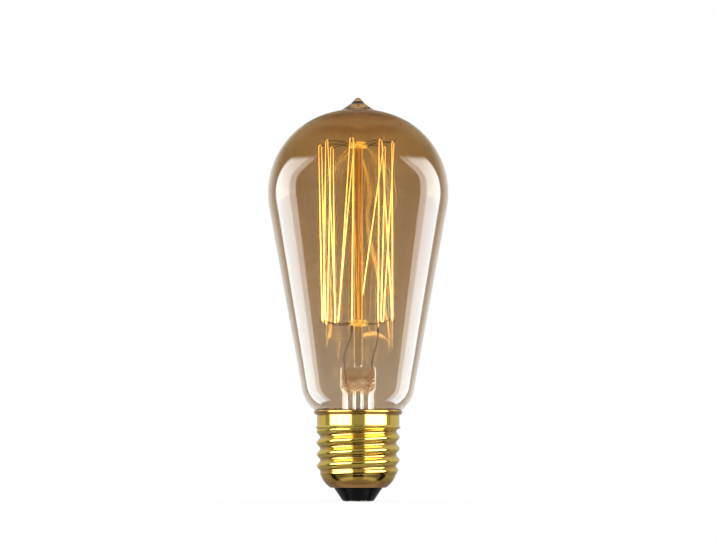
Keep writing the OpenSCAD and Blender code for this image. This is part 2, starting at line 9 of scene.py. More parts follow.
import bmesh
import bpy
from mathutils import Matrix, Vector, noise


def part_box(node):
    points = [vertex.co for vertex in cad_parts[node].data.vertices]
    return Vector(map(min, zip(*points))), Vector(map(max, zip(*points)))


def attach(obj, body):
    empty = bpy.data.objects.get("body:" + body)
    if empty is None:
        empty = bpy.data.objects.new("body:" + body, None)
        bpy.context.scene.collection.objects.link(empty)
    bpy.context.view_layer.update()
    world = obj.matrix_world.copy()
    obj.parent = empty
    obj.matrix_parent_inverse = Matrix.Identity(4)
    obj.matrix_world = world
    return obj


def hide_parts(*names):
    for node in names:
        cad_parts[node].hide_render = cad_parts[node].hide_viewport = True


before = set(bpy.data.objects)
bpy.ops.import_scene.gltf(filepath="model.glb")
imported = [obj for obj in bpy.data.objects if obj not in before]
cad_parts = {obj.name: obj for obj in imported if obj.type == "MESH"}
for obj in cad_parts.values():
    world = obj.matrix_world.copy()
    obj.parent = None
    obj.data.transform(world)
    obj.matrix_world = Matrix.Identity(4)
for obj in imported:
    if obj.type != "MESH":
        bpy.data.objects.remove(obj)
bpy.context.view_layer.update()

log = logging.getLogger("lamp")
log = logging.getLogger("lamp")
MM = 0.001
ROOT_BODY = "root"
MERGE_GAP = 1e-7
SHARP_EDGE = math.radians(38)
WIRE_DETAIL = 4
UP = Vector((0.0, 0.0, 1.0))
BLACK, WHITE = (0.0, 0.0, 0.0), (1.0, 1.0, 1.0)
Colour = tuple[float, float, float]
Span = tuple[float, float]
Window = tuple[float, float, float]
Mesh = bmesh.types.BMesh
Socket = bpy.types.NodeSocket


class Slot(Enum):
    """The record's material slots."""

    AMBER_GLASS = "amber_glass"
    STEM_GLASS = "stem_glass"
    FILAMENT = "filament_carbon"
    SUPPORT_WIRE = "support_wire"
    COPPER_WIRE = "copper_wire"
    BRASS = "cap_brass"
    INSULATOR = "black_insulator"
    CONTACT = "contact_metal"
    SOLDER = "solder"
    CEMENT = "cement"


class Value:
    """A number in a shader, on which Python's operators add Math nodes."""

    def __init__(self, shader: "Shader", socket: Socket) -> None:
        """Wraps one output socket of a shader's node tree."""
        self.shader = shader
        self.socket = socket

    def math(self, operation: str, *others: "Value | float", swap: bool = False) -> "Value":
        """Adds one Math node.

        Args:
            operation: the node's operation.
            others: the values after this one.
            swap: puts this value after the others.

        Returns:
            The node's result.
        """
        terms = (*others, self) if swap else (self, *others)
        return self.shader.value("ShaderNodeMath", 0, dict(enumerate(terms)), operation=operation)

    def __add__(self, other: "Value | float") -> "Value":
        """Sum."""
        return self.math("ADD", other)

    def __sub__(self, other: "Value | float") -> "Value":
        """Difference."""
        return self.math("SUBTRACT", other)

    def __mul__(self, other: "Value | float") -> "Value":
        """Product."""
        return self.math("MULTIPLY", other)

    def __rsub__(self, other: float) -> "Value":
        """Difference from a plain number."""
        return self.math("SUBTRACT", other, swap=True)

    __radd__ = __add__
    __rmul__ = __mul__

    def step(self, low: float, high: float) -> "Value":
        """Steps up smoothly.

        Args:
            low: where it leaves 0.
            high: where it reaches 1.

        Returns:
            The step.
        """
        return self.shader.value("ShaderNodeMapRange", "Result",
                                 {"Value": self, "From Min": low, "From Max": high},
                                 interpolation_type="SMOOTHSTEP")

    def window(self, low: float, high: float, soft: float) -> "Value":
        """1 between low and high and 0 outside, with soft edges of that half width."""
        return self.step(low - soft, low + soft) * (1 - self.step(high - soft, high + soft))


class Shader:
    """A node tree, with one method that adds its nodes."""

    def __init__(self, owner: bpy.types.Material | bpy.types.World) -> None:
        """Empties the owner's node tree and makes it ready for new nodes.

        Args:
            owner: the material or world that the tree belongs to.
        """
        self.owner = owner
        owner.use_nodes = True
        self.tree = owner.node_tree
        self.tree.nodes.clear()

    def node(self, kind: str, inputs: dict | None = None, stops: Sequence[tuple[float, Colour]] = (),
             **settings) -> bpy.types.Node:
        """Adds a node.

        Args:
            kind: the node's type.
            inputs: numbers, colours, sockets or values for its inputs, by name or number.
            stops: positions and colours of its ramp, if it has one.
            settings: its properties, which are set first.

        Returns:
            The new node.
        """
        made = self.tree.nodes.new(kind)
        for name, setting in settings.items():
            setattr(made, name, setting)
        for number, (position, colour) in enumerate(stops):
            ramp = made.color_ramp.elements
            element = ramp[number] if number < len(ramp) else ramp.new(position)
            element.position = position
            element.color = (*colour, 1.0)
        for name, given in (inputs or {}).items():
            source = given.socket if isinstance(given, Value) else given
            if isinstance(source, Socket):
                self.tree.links.new(source, made.inputs[name])
            elif isinstance(source, tuple) and made.inputs[name].type == "RGBA":
                made.inputs[name].default_value = (*source, 1.0)
            else:
                made.inputs[name].default_value = source
        return made

    def value(self, kind: str, output: str | int, inputs: dict | None = None, **settings) -> Value:
        """Adds a node and returns one of its outputs as a value."""
        return Value(self, self.node(kind, inputs, **settings).outputs[output])

    def place(self) -> tuple[Socket, Value, Value, Value]:
        """Reads object coordinates.

        Returns:
            Their vector, and X, Y and Z in metres.
        """
        vector = self.node("ShaderNodeTexCoord").outputs["Object"]
        return vector, *self.split(vector)

    def split(self, vector: Socket) -> tuple[Value, ...]:
        """X, Y and Z of a vector."""
        parts = self.node("ShaderNodeSeparateXYZ", {0: vector}).outputs
        return tuple(Value(self, parts[axis]) for axis in range(3))

    def speckle(self, vector: Socket, size: float, detail: float = 3.0) -> Value:
        """Noise around 0.5, with features of about that size in metres."""
        return self.value("ShaderNodeTexNoise", 0, {"Vector": vector, "Scale": 1 / size, "Detail": detail})

    def stretched(self, vector: Socket, scale: tuple) -> Socket:
        """The same place with its axes scaled, which stretches a pattern."""
        return self.node("ShaderNodeMapping", {"Vector": vector, "Scale": scale}).outputs[0]

    def attribute(self, name: str) -> Value:
        """A named attribute of the piece's points."""
        return self.value("ShaderNodeAttribute", "Fac", attribute_name=name)

    def ramp(self, amount: Value, stops: Sequence[tuple[float, Colour]]) -> Socket:
        """Colour along a ramp."""
        return self.node("ShaderNodeValToRGB", {"Fac": amount}, stops=stops).outputs["Color"]

    def mix(self, amount: Value | float, first: object, second: object) -> Socket:
        """Mixes two colours. The colour sockets of the node are its seventh and eighth."""
        return self.node("ShaderNodeMix", {0: amount, 6: first, 7: second}, data_type="RGBA").outputs[2]

    def bump(self, height: Value, distance: float, strength: float = 1.0) -> Socket:
        """Normal that a height pattern of that depth in metres gives."""
        return self.node("ShaderNodeBump", {"Height": height, "Distance": distance, "Strength": strength}
                         ).outputs["Normal"]

    def principled(self, inputs: dict) -> bpy.types.Node:
        """Adds a Principled surface."""
        return self.node("ShaderNodeBsdfPrincipled", inputs)

    def mixed(self, amount: Value, first: bpy.types.Node, second: bpy.types.Node) -> bpy.types.Node:
        """Mixes two surfaces."""
        return self.node("ShaderNodeMixShader", {0: amount, 1: first.outputs[0], 2: second.outputs[0]})

    def end(self, surface: bpy.types.Node, kind: str = "ShaderNodeOutputMaterial") -> None:
        """Ends the tree in its surface."""
        self.node(kind, {"Surface": surface.outputs[0]})


@dataclass(frozen=True)
class Finish:
    """What every finish has: a name and the slot that it stands for."""

    name: str
    slot: Slot

    def shade(self, shader: Shader) -> None:
        """Builds the nodes."""
        raise NotImplementedError

    def material(self) -> bpy.types.Material:
        """Makes the material at its first use.

        Returns:
            The material.
        """
        known = bpy.data.materials.get(self.name)
        if known:
            return known
        made = bpy.data.materials.new(self.name)
        self.shade(Shader(made))
        return made


@dataclass(frozen=True)
class TintedGlass(Finish):
    """Clear blown glass whose tint changes with height.

    A little of it is hazy, more so at the sealed tip. The painted glow is emission standing for light
    scattered in the glass, mottled with painted glints; the rim is a metal mirror at its edges with a
    painted glow; and the grooves are painted shade along the dark lines of pressed glass.
    """

    stops: tuple[tuple[float, Colour], ...]
    low: float
    high: float
    ior: float = 1.6
    mottle_size: float = 16 * MM
    mottle: float = 0.03
    wave_size: float = 22 * MM
    wave_depth: float = 0.05 * MM
    haze: float = 0.04
    haze_roughness: float = 0.35
    tip_haze: float = 0.0
    tip_reach: Span = (125.0 * MM, 126.5 * MM)
    # Painted glow: emission standing for the filament's light scattered in the glass, mottled with painted
    # glints.
    painted_glow: Colour = (1.0, 0.85, 0.3)
    painted_glow_strength: float = 0.0
    painted_glint_size: float = 0.7 * MM
    painted_glint_reach: Span = (0.4, 0.62)
    painted_glint_share: float = 0.75
    rim: float = 0.0
    rim_reach: Span = (0.12, 0.45)
    rim_slope: Span = (0.3, 0.6)
    rim_colour: Colour = (0.95, 0.95, 0.95)
    # Emission of the rim mirror: a painted glow of the light that the edges mirror.
    painted_rim_glow: float = 0.0
    groove_pitch: float = 0.0
    groove_slope: float = 38.0
    groove_edge: Span = (-0.1, 0.8)
    groove_reach: Span = (34.6 * MM, 39.2 * MM)
    groove_fade: float = 0.5 * MM
    # Painted shade: the dark colour laid along the pressed grooves.
    groove_shade_colour: Colour = (0.42, 0.17, 0.03)

    def shade(self, shader: Shader) -> None:
        """Tint under a faintly wavy surface with a breath of haze, and a rim where the glass has one.

        Args:
            shader: the material's node tree.
        """
        vector, x, _, z = shader.place()
        tint = self.tint(shader, vector, x, z)
        waves = shader.bump(shader.speckle(vector, self.wave_size, detail=1.0), self.wave_depth)
        # Painted glints and painted glow: emission standing for filament light in the glass.
        painted_glints = shader.speckle(vector, self.painted_glint_size).step(*self.painted_glint_reach)
        painted_glow = shader.mix(painted_glints * self.painted_glint_share + (1 - self.painted_glint_share), BLACK, self.painted_glow)
        clear, hazy = (shader.principled({
            "Base Color": tint, "Roughness": roughness, "IOR": self.ior, "Transmission Weight": 1.0,
            "Normal": waves, "Emission Color": painted_glow, "Emission Strength": self.painted_glow_strength})
            for roughness in (0.0, self.haze_roughness))
        glass = shader.mixed(z.step(*self.tip_reach) * self.tip_haze + self.haze, clear, hazy)
        if self.rim:
            edge = shader.value("ShaderNodeLayerWeight", "Facing", {"Blend": 0.5}).step(*self.rim_reach)
            upward = shader.split(shader.node("ShaderNodeTexCoord").outputs["Normal"])[2].math("ABSOLUTE")
            # Metal mirror at the glass's edges, with a painted glow.
            mirror = shader.principled({
                "Base Color": self.rim_colour, "Metallic": 1.0, "Roughness": 0.0, "Normal": waves,
                "Emission Color": self.rim_colour, "Emission Strength": self.painted_rim_glow})
            glass = shader.mixed(edge * (1 - upward.step(*self.rim_slope)) * self.rim, glass, mirror)
        shader.end(glass)

    def tint(self, shader: Shader, vector: Socket, x: Value, z: Value) -> Socket:
        """Tint by height with a faint mottle, and painted shade in the grooves.

        Args:
            shader: the material's node tree.
            vector: object coordinates.
            x: their X.
            z: their Z.

        Returns:
            The colour.
        """
        height = (z - self.low) * (1 / (self.high - self.low))
        mottle = (shader.speckle(vector, self.mottle_size) - 0.5) * self.mottle
        tint = shader.ramp(height + mottle, self.stops)
        if not self.groove_pitch:
            return tint
        # Painted shade: dark stripes along the jaw grooves of the pinch.
        slope = math.radians(self.groove_slope)
        along = (z * math.cos(slope) - x * math.sin(slope)) * (math.tau / self.groove_pitch)
        groove = along.math("COSINE").step(*self.groove_edge)
        return shader.mix(groove * z.window(*self.groove_reach, self.groove_fade), tint, self.groove_shade_colour)


@dataclass(frozen=True)
class Glow(Finish):
    """Incandescent filament: white-hot between its hooks, cooler where a hook carries it."""

    hot: Colour
    cool: Colour
    strength: float
    low: float
    high: float
    low_fade: float = 1.5 * MM
    high_fade: float = 34 * MM
    flicker_size: float = 4 * MM
    flicker_reach: Span = (0.25, 0.7)
    flicker: float = 0.35
    roughness: float = 0.7
    soot: Colour = (0.05, 0.03, 0.02)

    def shade(self, shader: Shader) -> None:
        """Emission by height, with a slow flicker of temperature along the strand.

        Args:
            shader: the material's node tree.
        """
        vector, _, _, z = shader.place()
        inner = z.step(self.low, self.low + self.low_fade)
        inner = inner * (1 - z.step(self.high - self.high_fade, self.high))
        flicker = shader.speckle(vector, self.flicker_size).step(*self.flicker_reach) * self.flicker
        colour = shader.mix(inner * (1 - self.flicker + flicker), self.cool, self.hot)
        shader.end(shader.principled({
            "Base Color": self.soot, "Roughness": self.roughness, "Emission Color": colour,
            "Emission Strength": self.strength}))


@dataclass(frozen=True)
class Metal(Finish):
    """Bare metal with drawn or turned marks, stains and a worn sheen."""

    clean: Colour
    stained: Colour
    roughness: float
    stain_size: float = 3 * MM
    stain_reach: Span = (0.45, 0.8)
    grain_scale: tuple[float, float, float] = (1.0, 1.0, 1.0)
    grain_size: float = 0.4 * MM
    grain_depth: float = 0.006 * MM
    grain_roughness: float = 0.06
    stain_roughness: float = 0.12
    # Colour of the darkening that the piece's attribute sets: tarnish mixed with painted shade.
    tarnish_colour: Colour | None = None
    tarnish_size: float = 0.9 * MM
    tarnish_least: float = 0.55
    tarnish_spread: float = 0.5
    tarnish_roughness: float = 0.1

    def shade(self, shader: Shader) -> None:
        """Stains over the clean colour, rougher where stained, with a fine grain.

        Args:
            shader: the material's node tree.
        """
        vector, _, _, _ = shader.place()
        stain = shader.speckle(vector, self.stain_size, detail=6.0).step(*self.stain_reach)
        colour = shader.mix(stain, self.clean, self.stained)
        rough = self.roughness + stain * self.stain_roughness
        # Tarnish and painted shade, in patches, where the piece's attribute sets them.
        if self.tarnish_colour:
            patches = shader.speckle(vector, self.tarnish_size) * self.tarnish_spread
            tarnish = shader.attribute("tarnish") * (self.tarnish_least + patches)
            colour = shader.mix(tarnish, colour, self.tarnish_colour)
            rough = rough + tarnish * self.tarnish_roughness
        grain = shader.speckle(shader.stretched(vector, self.grain_scale), self.grain_size)
        shader.end(shader.principled({
            "Base Color": colour, "Metallic": 1.0, "Roughness": rough + (grain - 0.5) * self.grain_roughness,
            "Normal": shader.bump(grain, self.grain_depth)}))


@dataclass(frozen=True)
class Vitrite(Finish):
    """Black glass cast in the foot of the cap, glossy with flow marks."""

    black: Colour = (0.001, 0.001, 0.001)
    dusty: Colour = (0.006, 0.005, 0.005)
    ior: float = 1.3
    gloss: float = 0.09
    dust_roughness: float = 0.3
    dust_size: float = 1.6 * MM
    dust_reach: Span = (0.5, 0.85)
    flow_size: float = 2.4 * MM
    flow_depth: float = 0.05 * MM
    flow_scale: tuple[float, float, float] = (1.0, 1.0, 2.5)

    def shade(self, shader: Shader) -> None:
        """Near-black, with dusty patches and a cast skin.

        Args:
            shader: the material's node tree.
        """
        vector, _, _, _ = shader.place()
        dust = shader.speckle(vector, self.dust_size, detail=7.0).step(*self.dust_reach)
        flow = shader.speckle(shader.stretched(vector, self.flow_scale), self.flow_size)
        shader.end(shader.principled({
            "Base Color": shader.mix(dust, self.black, self.dusty), "IOR": self.ior,
            "Roughness": self.gloss + dust * self.dust_roughness,
            "Normal": shader.bump(flow, self.flow_depth)}))


@dataclass(frozen=True)
class Powder(Finish):
    """Baked basing cement: matt, sandy and crumbly."""

    pale: Colour = (0.62, 0.57, 0.47)
    dark: Colour = (0.42, 0.36, 0.27)
    roughness: float = 0.92
    sand_size: float = 0.35 * MM
    sand_reach: Span = (0.35, 0.7)
    pit_depth: float = 0.08 * MM

    def shade(self, shader: Shader) -> None:
        """Sandy colour and pitted surface.

        Args:
            shader: the material's node tree.
        """
        vector, _, _, _ = shader.place()
        sand = shader.speckle(vector, self.sand_size, detail=8.0)
        shader.end(shader.principled({
            "Base Color": shader.mix(sand.step(*self.sand_reach), self.dark, self.pale),
            "Roughness": self.roughness, "Normal": shader.bump(sand, self.pit_depth)}))


# Paler towards the bottom: painted light of the mirrored soft boxes. Higher up the tint is darker, with dark
# bands near the crown and a pale tip.
AMBER = TintedGlass(
    "amber bulb glass", Slot.AMBER_GLASS, low=28 * MM, high=128 * MM, ior=1.8, haze=0.06,
    haze_roughness=0.22, tip_haze=0.7, stops=(
        (0.0, (0.67, 0.57, 0.46)), (0.15, (0.60, 0.49, 0.36)), (0.45, (0.555, 0.41, 0.24)),
        (0.7, (0.52, 0.36, 0.175)), (0.85, (0.60, 0.43, 0.22)), (0.90, (0.63, 0.45, 0.22)),
        (0.925, (0.44, 0.235, 0.075)), (0.945, (0.50, 0.30, 0.11)), (0.96, (0.40, 0.18, 0.05)),
        (0.97, (0.48, 0.30, 0.12)), (0.985, (0.80, 0.66, 0.42)), (1.0, (0.92, 0.82, 0.62))))
# Its rim mirror glows with painted light, and its pressed grooves carry painted shade.
CLEAR = TintedGlass(
    "clear stem glass", Slot.STEM_GLASS, low=14 * MM, high=54 * MM, mottle_size=3 * MM,
    wave_size=4 * MM, wave_depth=0.08 * MM, rim=0.9, rim_reach=(0.25, 0.36),
    rim_colour=(0.84, 0.92, 1.0), painted_rim_glow=1.35, groove_pitch=1.0 * MM, stops=(
        (0.0, (0.97, 0.97, 0.95)), (0.48, (0.97, 0.96, 0.93)), (0.52, (1.0, 0.74, 0.34)),
        (0.62, (1.0, 0.78, 0.42)), (0.68, (0.97, 0.90, 0.76)), (1.0, (0.97, 0.92, 0.82))))
# Painted light: orange tint from the lower bead up, where the filament's light falls on the stem glass.
PAINTED_LIT_GLASS = TintedGlass(
    "stem glass in filament light", Slot.STEM_GLASS, low=40 * MM, high=114 * MM, mottle_size=3 * MM,
    wave_size=4 * MM, wave_depth=0.08 * MM, haze=0.4, rim=0.6, stops=(
        (0.0, (0.97, 0.93, 0.85)), (0.16, (0.97, 0.88, 0.72)), (0.22, (1.0, 0.68, 0.14)),
        (1.0, (1.0, 0.68, 0.14))))
# The beads also glow with painted light and painted glints.
BEAD = replace(PAINTED_LIT_GLASS, name="bead glass in filament light", painted_glow_strength=1.0)
GLOW = Glow("glowing filament", Slot.FILAMENT, hot=(1.0, 0.68, 0.21), cool=(0.25, 0.16, 0.06),
            strength=16.0, low=56.0 * MM, high=114 * MM)
NICKEL = Metal("heat-stained nickel wire", Slot.SUPPORT_WIRE, clean=(0.30, 0.21, 0.14),
               stained=(0.10, 0.05, 0.03), roughness=0.32, stain_size=1.2 * MM, grain_size=0.15 * MM)
COPPER = Metal("copper wire", Slot.COPPER_WIRE, clean=(0.78, 0.34, 0.16), stained=(0.42, 0.13, 0.06),
               roughness=0.28, stain_size=1.5 * MM, grain_size=0.2 * MM)
# Its darkening colour paints shade into the thread's roots and on the downward-facing foot, besides tarnish
# in the roots.
BRASS = Metal("rolled brass", Slot.BRASS, clean=(0.86, 0.63, 0.13), stained=(0.8, 0.54, 0.1),
              roughness=0.07, stain_size=5 * MM, stain_reach=(0.4, 0.75), stain_roughness=0.04,
              grain_scale=(0.25, 0.25, 6.0), grain_size=0.5 * MM, grain_depth=0.0015 * MM,
              tarnish_colour=(0.44, 0.22, 0.07))
TINNED = Metal("tinned contact brass", Slot.CONTACT, clean=(0.72, 0.66, 0.52), stained=(0.55, 0.44, 0.26),
               roughness=0.3, stain_size=1.8 * MM)
SOLDER = Metal("dull solder", Slot.SOLDER, clean=(0.62, 0.62, 0.63), stained=(0.36, 0.35, 0.34),
               roughness=0.38, stain_size=0.8 * MM, grain_size=0.3 * MM, grain_depth=0.02 * MM)
VITRITE = Vitrite("black vitrite", Slot.INSULATOR)
CEMENT = Powder("basing cement", Slot.CEMENT)


class Pen:
    """Draws a profile in the XZ plane, to be turned round the Z axis."""

    def __init__(self, radius: float, height: float) -> None:
        """Puts the pen down at a radius and a height."""
        self.mesh = bmesh.new()
        self.tip = self.mesh.verts.new((radius, 0.0, height))

    def line(self, radius: float, height: float, steps: int = 1) -> None:
        """Draws a straight line.

        Args:
            radius: radius at which it ends.
            height: height at which it ends.
            steps: segments of the line.
        """
        start, goal = self.tip.co.copy(), Vector((radius, 0.0, height))
        for step in range(1, steps + 1):
            self.tip = bmesh.ops.extrude_vert_indiv(self.mesh, verts=[self.tip])["verts"][0]
            self.tip.co = start.lerp(goal, step / steps)

    def arc(self, radius: float, height: float, goal: float, steps: int = 8) -> None:
        """Draws an arc.

        Args:
            radius: radius at which the arc's centre lies.
            height: height of the centre.
            goal: direction from the centre in which the arc ends, in degrees from +X towards +Z.
            steps: segments of the arc.
        """
        start = math.degrees(math.atan2(self.tip.co.z - height, self.tip.co.x - radius))
        turn = (goal - start + 180) % 360 - 180
        made = bmesh.ops.spin(self.mesh, geom=[self.tip], cent=(radius, 0.0, height), axis=(0.0, -1.0, 0.0),
                              angle=math.radians(turn), steps=steps)
        self.tip = next(part for part in made["geom_last"] if isinstance(part, bmesh.types.BMVert))

    def turned(self, steps: int) -> Mesh:
        """Spins the profile round the Z axis.

        Args:
            steps: segments of the turn.

        Returns:
            The closed skin, facing outwards.
        """
        bmesh.ops.spin(self.mesh, geom=self.mesh.verts[:] + self.mesh.edges[:], cent=(0.0, 0.0, 0.0),
                       axis=UP, angle=math.tau, steps=steps, use_merge=True)
        bmesh.ops.remove_doubles(self.mesh, verts=self.mesh.verts, dist=MERGE_GAP)
        bmesh.ops.recalc_face_normals(self.mesh, faces=self.mesh.faces)
        return self.mesh


@dataclass(frozen=True)
class Ring:
    """One cross-section of a loft: its height, half widths, and how square it is (2 is an ellipse)."""

    height: float
    half_x: float
    half_y: float
    squareness: float = 2.0

    def point(self, angle: float) -> Vector:
        """Finds the place on the ring in a direction.

        Args:
            angle: the direction, in radians.

        Returns:
            The place.
        """
        across, along = math.cos(angle), math.sin(angle)
        power = self.squareness
        reach = (abs(across / self.half_x) ** power + abs(along / self.half_y) ** power) ** (-1 / power)
        return Vector((reach * across, reach * along, self.height))


class Loft:
    """A closed skin grown ring by ring from a flat cap."""

    def __init__(self, first: Ring, sides: int = 144) -> None:
        """Starts with the first ring, capped.

        Args:
            first: the ring.
            sides: the skin's sides.
        """
        self.mesh = bmesh.new()
        made = bmesh.ops.create_circle(self.mesh, cap_ends=True, segments=sides, radius=1.0)["verts"]
        self.angles = {vert: math.atan2(vert.co.y, vert.co.x) for vert in made}
        self.edges = [edge for edge in self.mesh.edges if edge.is_boundary]
        self.put(first)

    def put(self, ring: Ring) -> None:
        """Moves the open edge to a ring."""
        for vert, angle in self.angles.items():
            vert.co = ring.point(angle)

    def grow(self, ring: Ring) -> None:
        """Extrudes the open edge.

        Args:
            ring: the next ring.
        """
        made = bmesh.ops.extrude_edge_only(self.mesh, edges=self.edges)["geom"]
        carried = {}
        for vert in made:
            if isinstance(vert, bmesh.types.BMVert):
                ends = (edge.other_vert(vert) for edge in vert.link_edges)
                carried[vert] = next(self.angles[end] for end in ends if end in self.angles)
        self.angles = carried
        self.edges = [part for part in made if isinstance(part, bmesh.types.BMEdge)
                      and part.verts[0] in carried and part.verts[1] in carried]
        self.put(ring)

    def closed(self) -> Mesh:
        """Caps the open edge.

        Returns:
            The skin, facing outwards.
        """
        bmesh.ops.edgeloop_fill(self.mesh, edges=self.edges)
        bmesh.ops.recalc_face_normals(self.mesh, faces=self.mesh.faces)
        return self.mesh

def finish_piece(name: str, mesh: Mesh, finish: Finish, *nodes: str) -> bpy.types.Object:
    """Makes a piece of the lamp from its mesh, in place of the CAD nodes that it stands for.

    Args:
        name: the piece's name.
        mesh: its mesh in the lamp's own frame, which is used up.
        finish: its finish.
        nodes: the CAD nodes that it replaces.

    Returns:
        The piece.
    """
    data = bpy.data.meshes.new(name)
    mesh.to_mesh(data)
    mesh.free()
    data.shade_smooth()
    data.set_sharp_from_angle(angle=SHARP_EDGE)
    data.materials.append(finish.material())
    piece = bpy.data.objects.new(name, data)
    bpy.context.scene.collection.objects.link(piece)
    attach(piece, ROOT_BODY)
    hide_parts(*nodes)
    log.info("%s: %d faces, %s", name, len(data.polygons), finish.name)
    return piece


def drawn_wire(route: Sequence[Vector], radius: float) -> Mesh:
    """Draws round wire straight from point to point of a route.

    Args:
        route: the points of its centre line.
        radius: the wire's radius.

    Returns:
        The closed mesh.
    """
    curve = bpy.data.curves.new("route", "CURVE")
    curve.dimensions = "3D"
    curve.bevel_depth = radius
    curve.bevel_resolution = WIRE_DETAIL
    curve.use_fill_caps = True
    points = curve.splines.new("POLY").points
    points.add(len(route) - 1)
    for point, place in zip(points, route):
        point.co = (*place, 1.0)
    holder = bpy.data.objects.new("route", curve)
    bpy.context.scene.collection.objects.link(holder)
    drawn = holder.evaluated_get(bpy.context.evaluated_depsgraph_get())
    mesh = bmesh.new()
    mesh.from_mesh(drawn.to_mesh())
    drawn.to_mesh_clear()
    bpy.data.objects.remove(holder)
    bpy.data.curves.remove(curve)
    bmesh.ops.remove_doubles(mesh, verts=mesh.verts, dist=MERGE_GAP)
    bmesh.ops.recalc_face_normals(mesh, faces=mesh.faces)
    return mesh


def joined(first: Mesh, second: Mesh) -> Mesh:
    """Adds one mesh to another.

    Args:
        first: the mesh that grows.
        second: the mesh that is added, and used up.

    Returns:
        The first mesh.
    """
    carrier = bpy.data.meshes.new("carrier")
    second.to_mesh(carrier)
    second.free()
    first.from_mesh(carrier)
    bpy.data.meshes.remove(carrier)
    return first


def moved(mesh: Mesh, shift: Callable[[Vector], Vector]) -> Mesh:
    """Moves each point of a mesh.

    Args:
        mesh: the mesh.
        shift: gives the move for a place.

    Returns:
        The same mesh.
    """
    for vert in mesh.verts:
        vert.co += shift(vert.co)
    return mesh


def blend(start: float, goal: float, amount: float) -> float:
    """Smooth step from start to goal."""
    eased = amount * amount * (3 - 2 * amount)
    return start + (goal - start) * eased


def held(number: float) -> float:
    """The number, held between 0 and 1."""
    return min(1.0, max(0.0, number))


def level(place: Vector) -> Vector:
    """The part of a place that lies across the lamp's axis."""
    return Vector((place.x, place.y, 0.0))


def towards(degrees: float) -> Vector:
    """Unit vector in the profile's plane, in degrees from +X towards +Z."""
    return Vector((math.cos(math.radians(degrees)), math.sin(math.radians(degrees))))


def direction(start: Vector, goal: Vector) -> float:
    """Direction in the profile's plane from one point to another, in degrees."""
    return math.degrees(math.atan2(goal.y - start.y, goal.x - start.x))


@dataclass
class Levels:
    """Heights that several pieces share, in metres above the centre contact's face."""

    foot: float = 4.3 * MM
    thread: float = 8.4 * MM
    collar: float = 23.15 * MM
    rim: float = 27.25 * MM
    cap_top: float = 28.3 * MM
    seal: float = 23.9 * MM
    flare_top: float = 33.9 * MM
    pinch: float = 35.9 * MM
    pinch_top: float = 43.1 * MM
    lower_bead: float = 56.2 * MM
    upper_bead: float = 113.0 * MM


LEVELS = Levels()


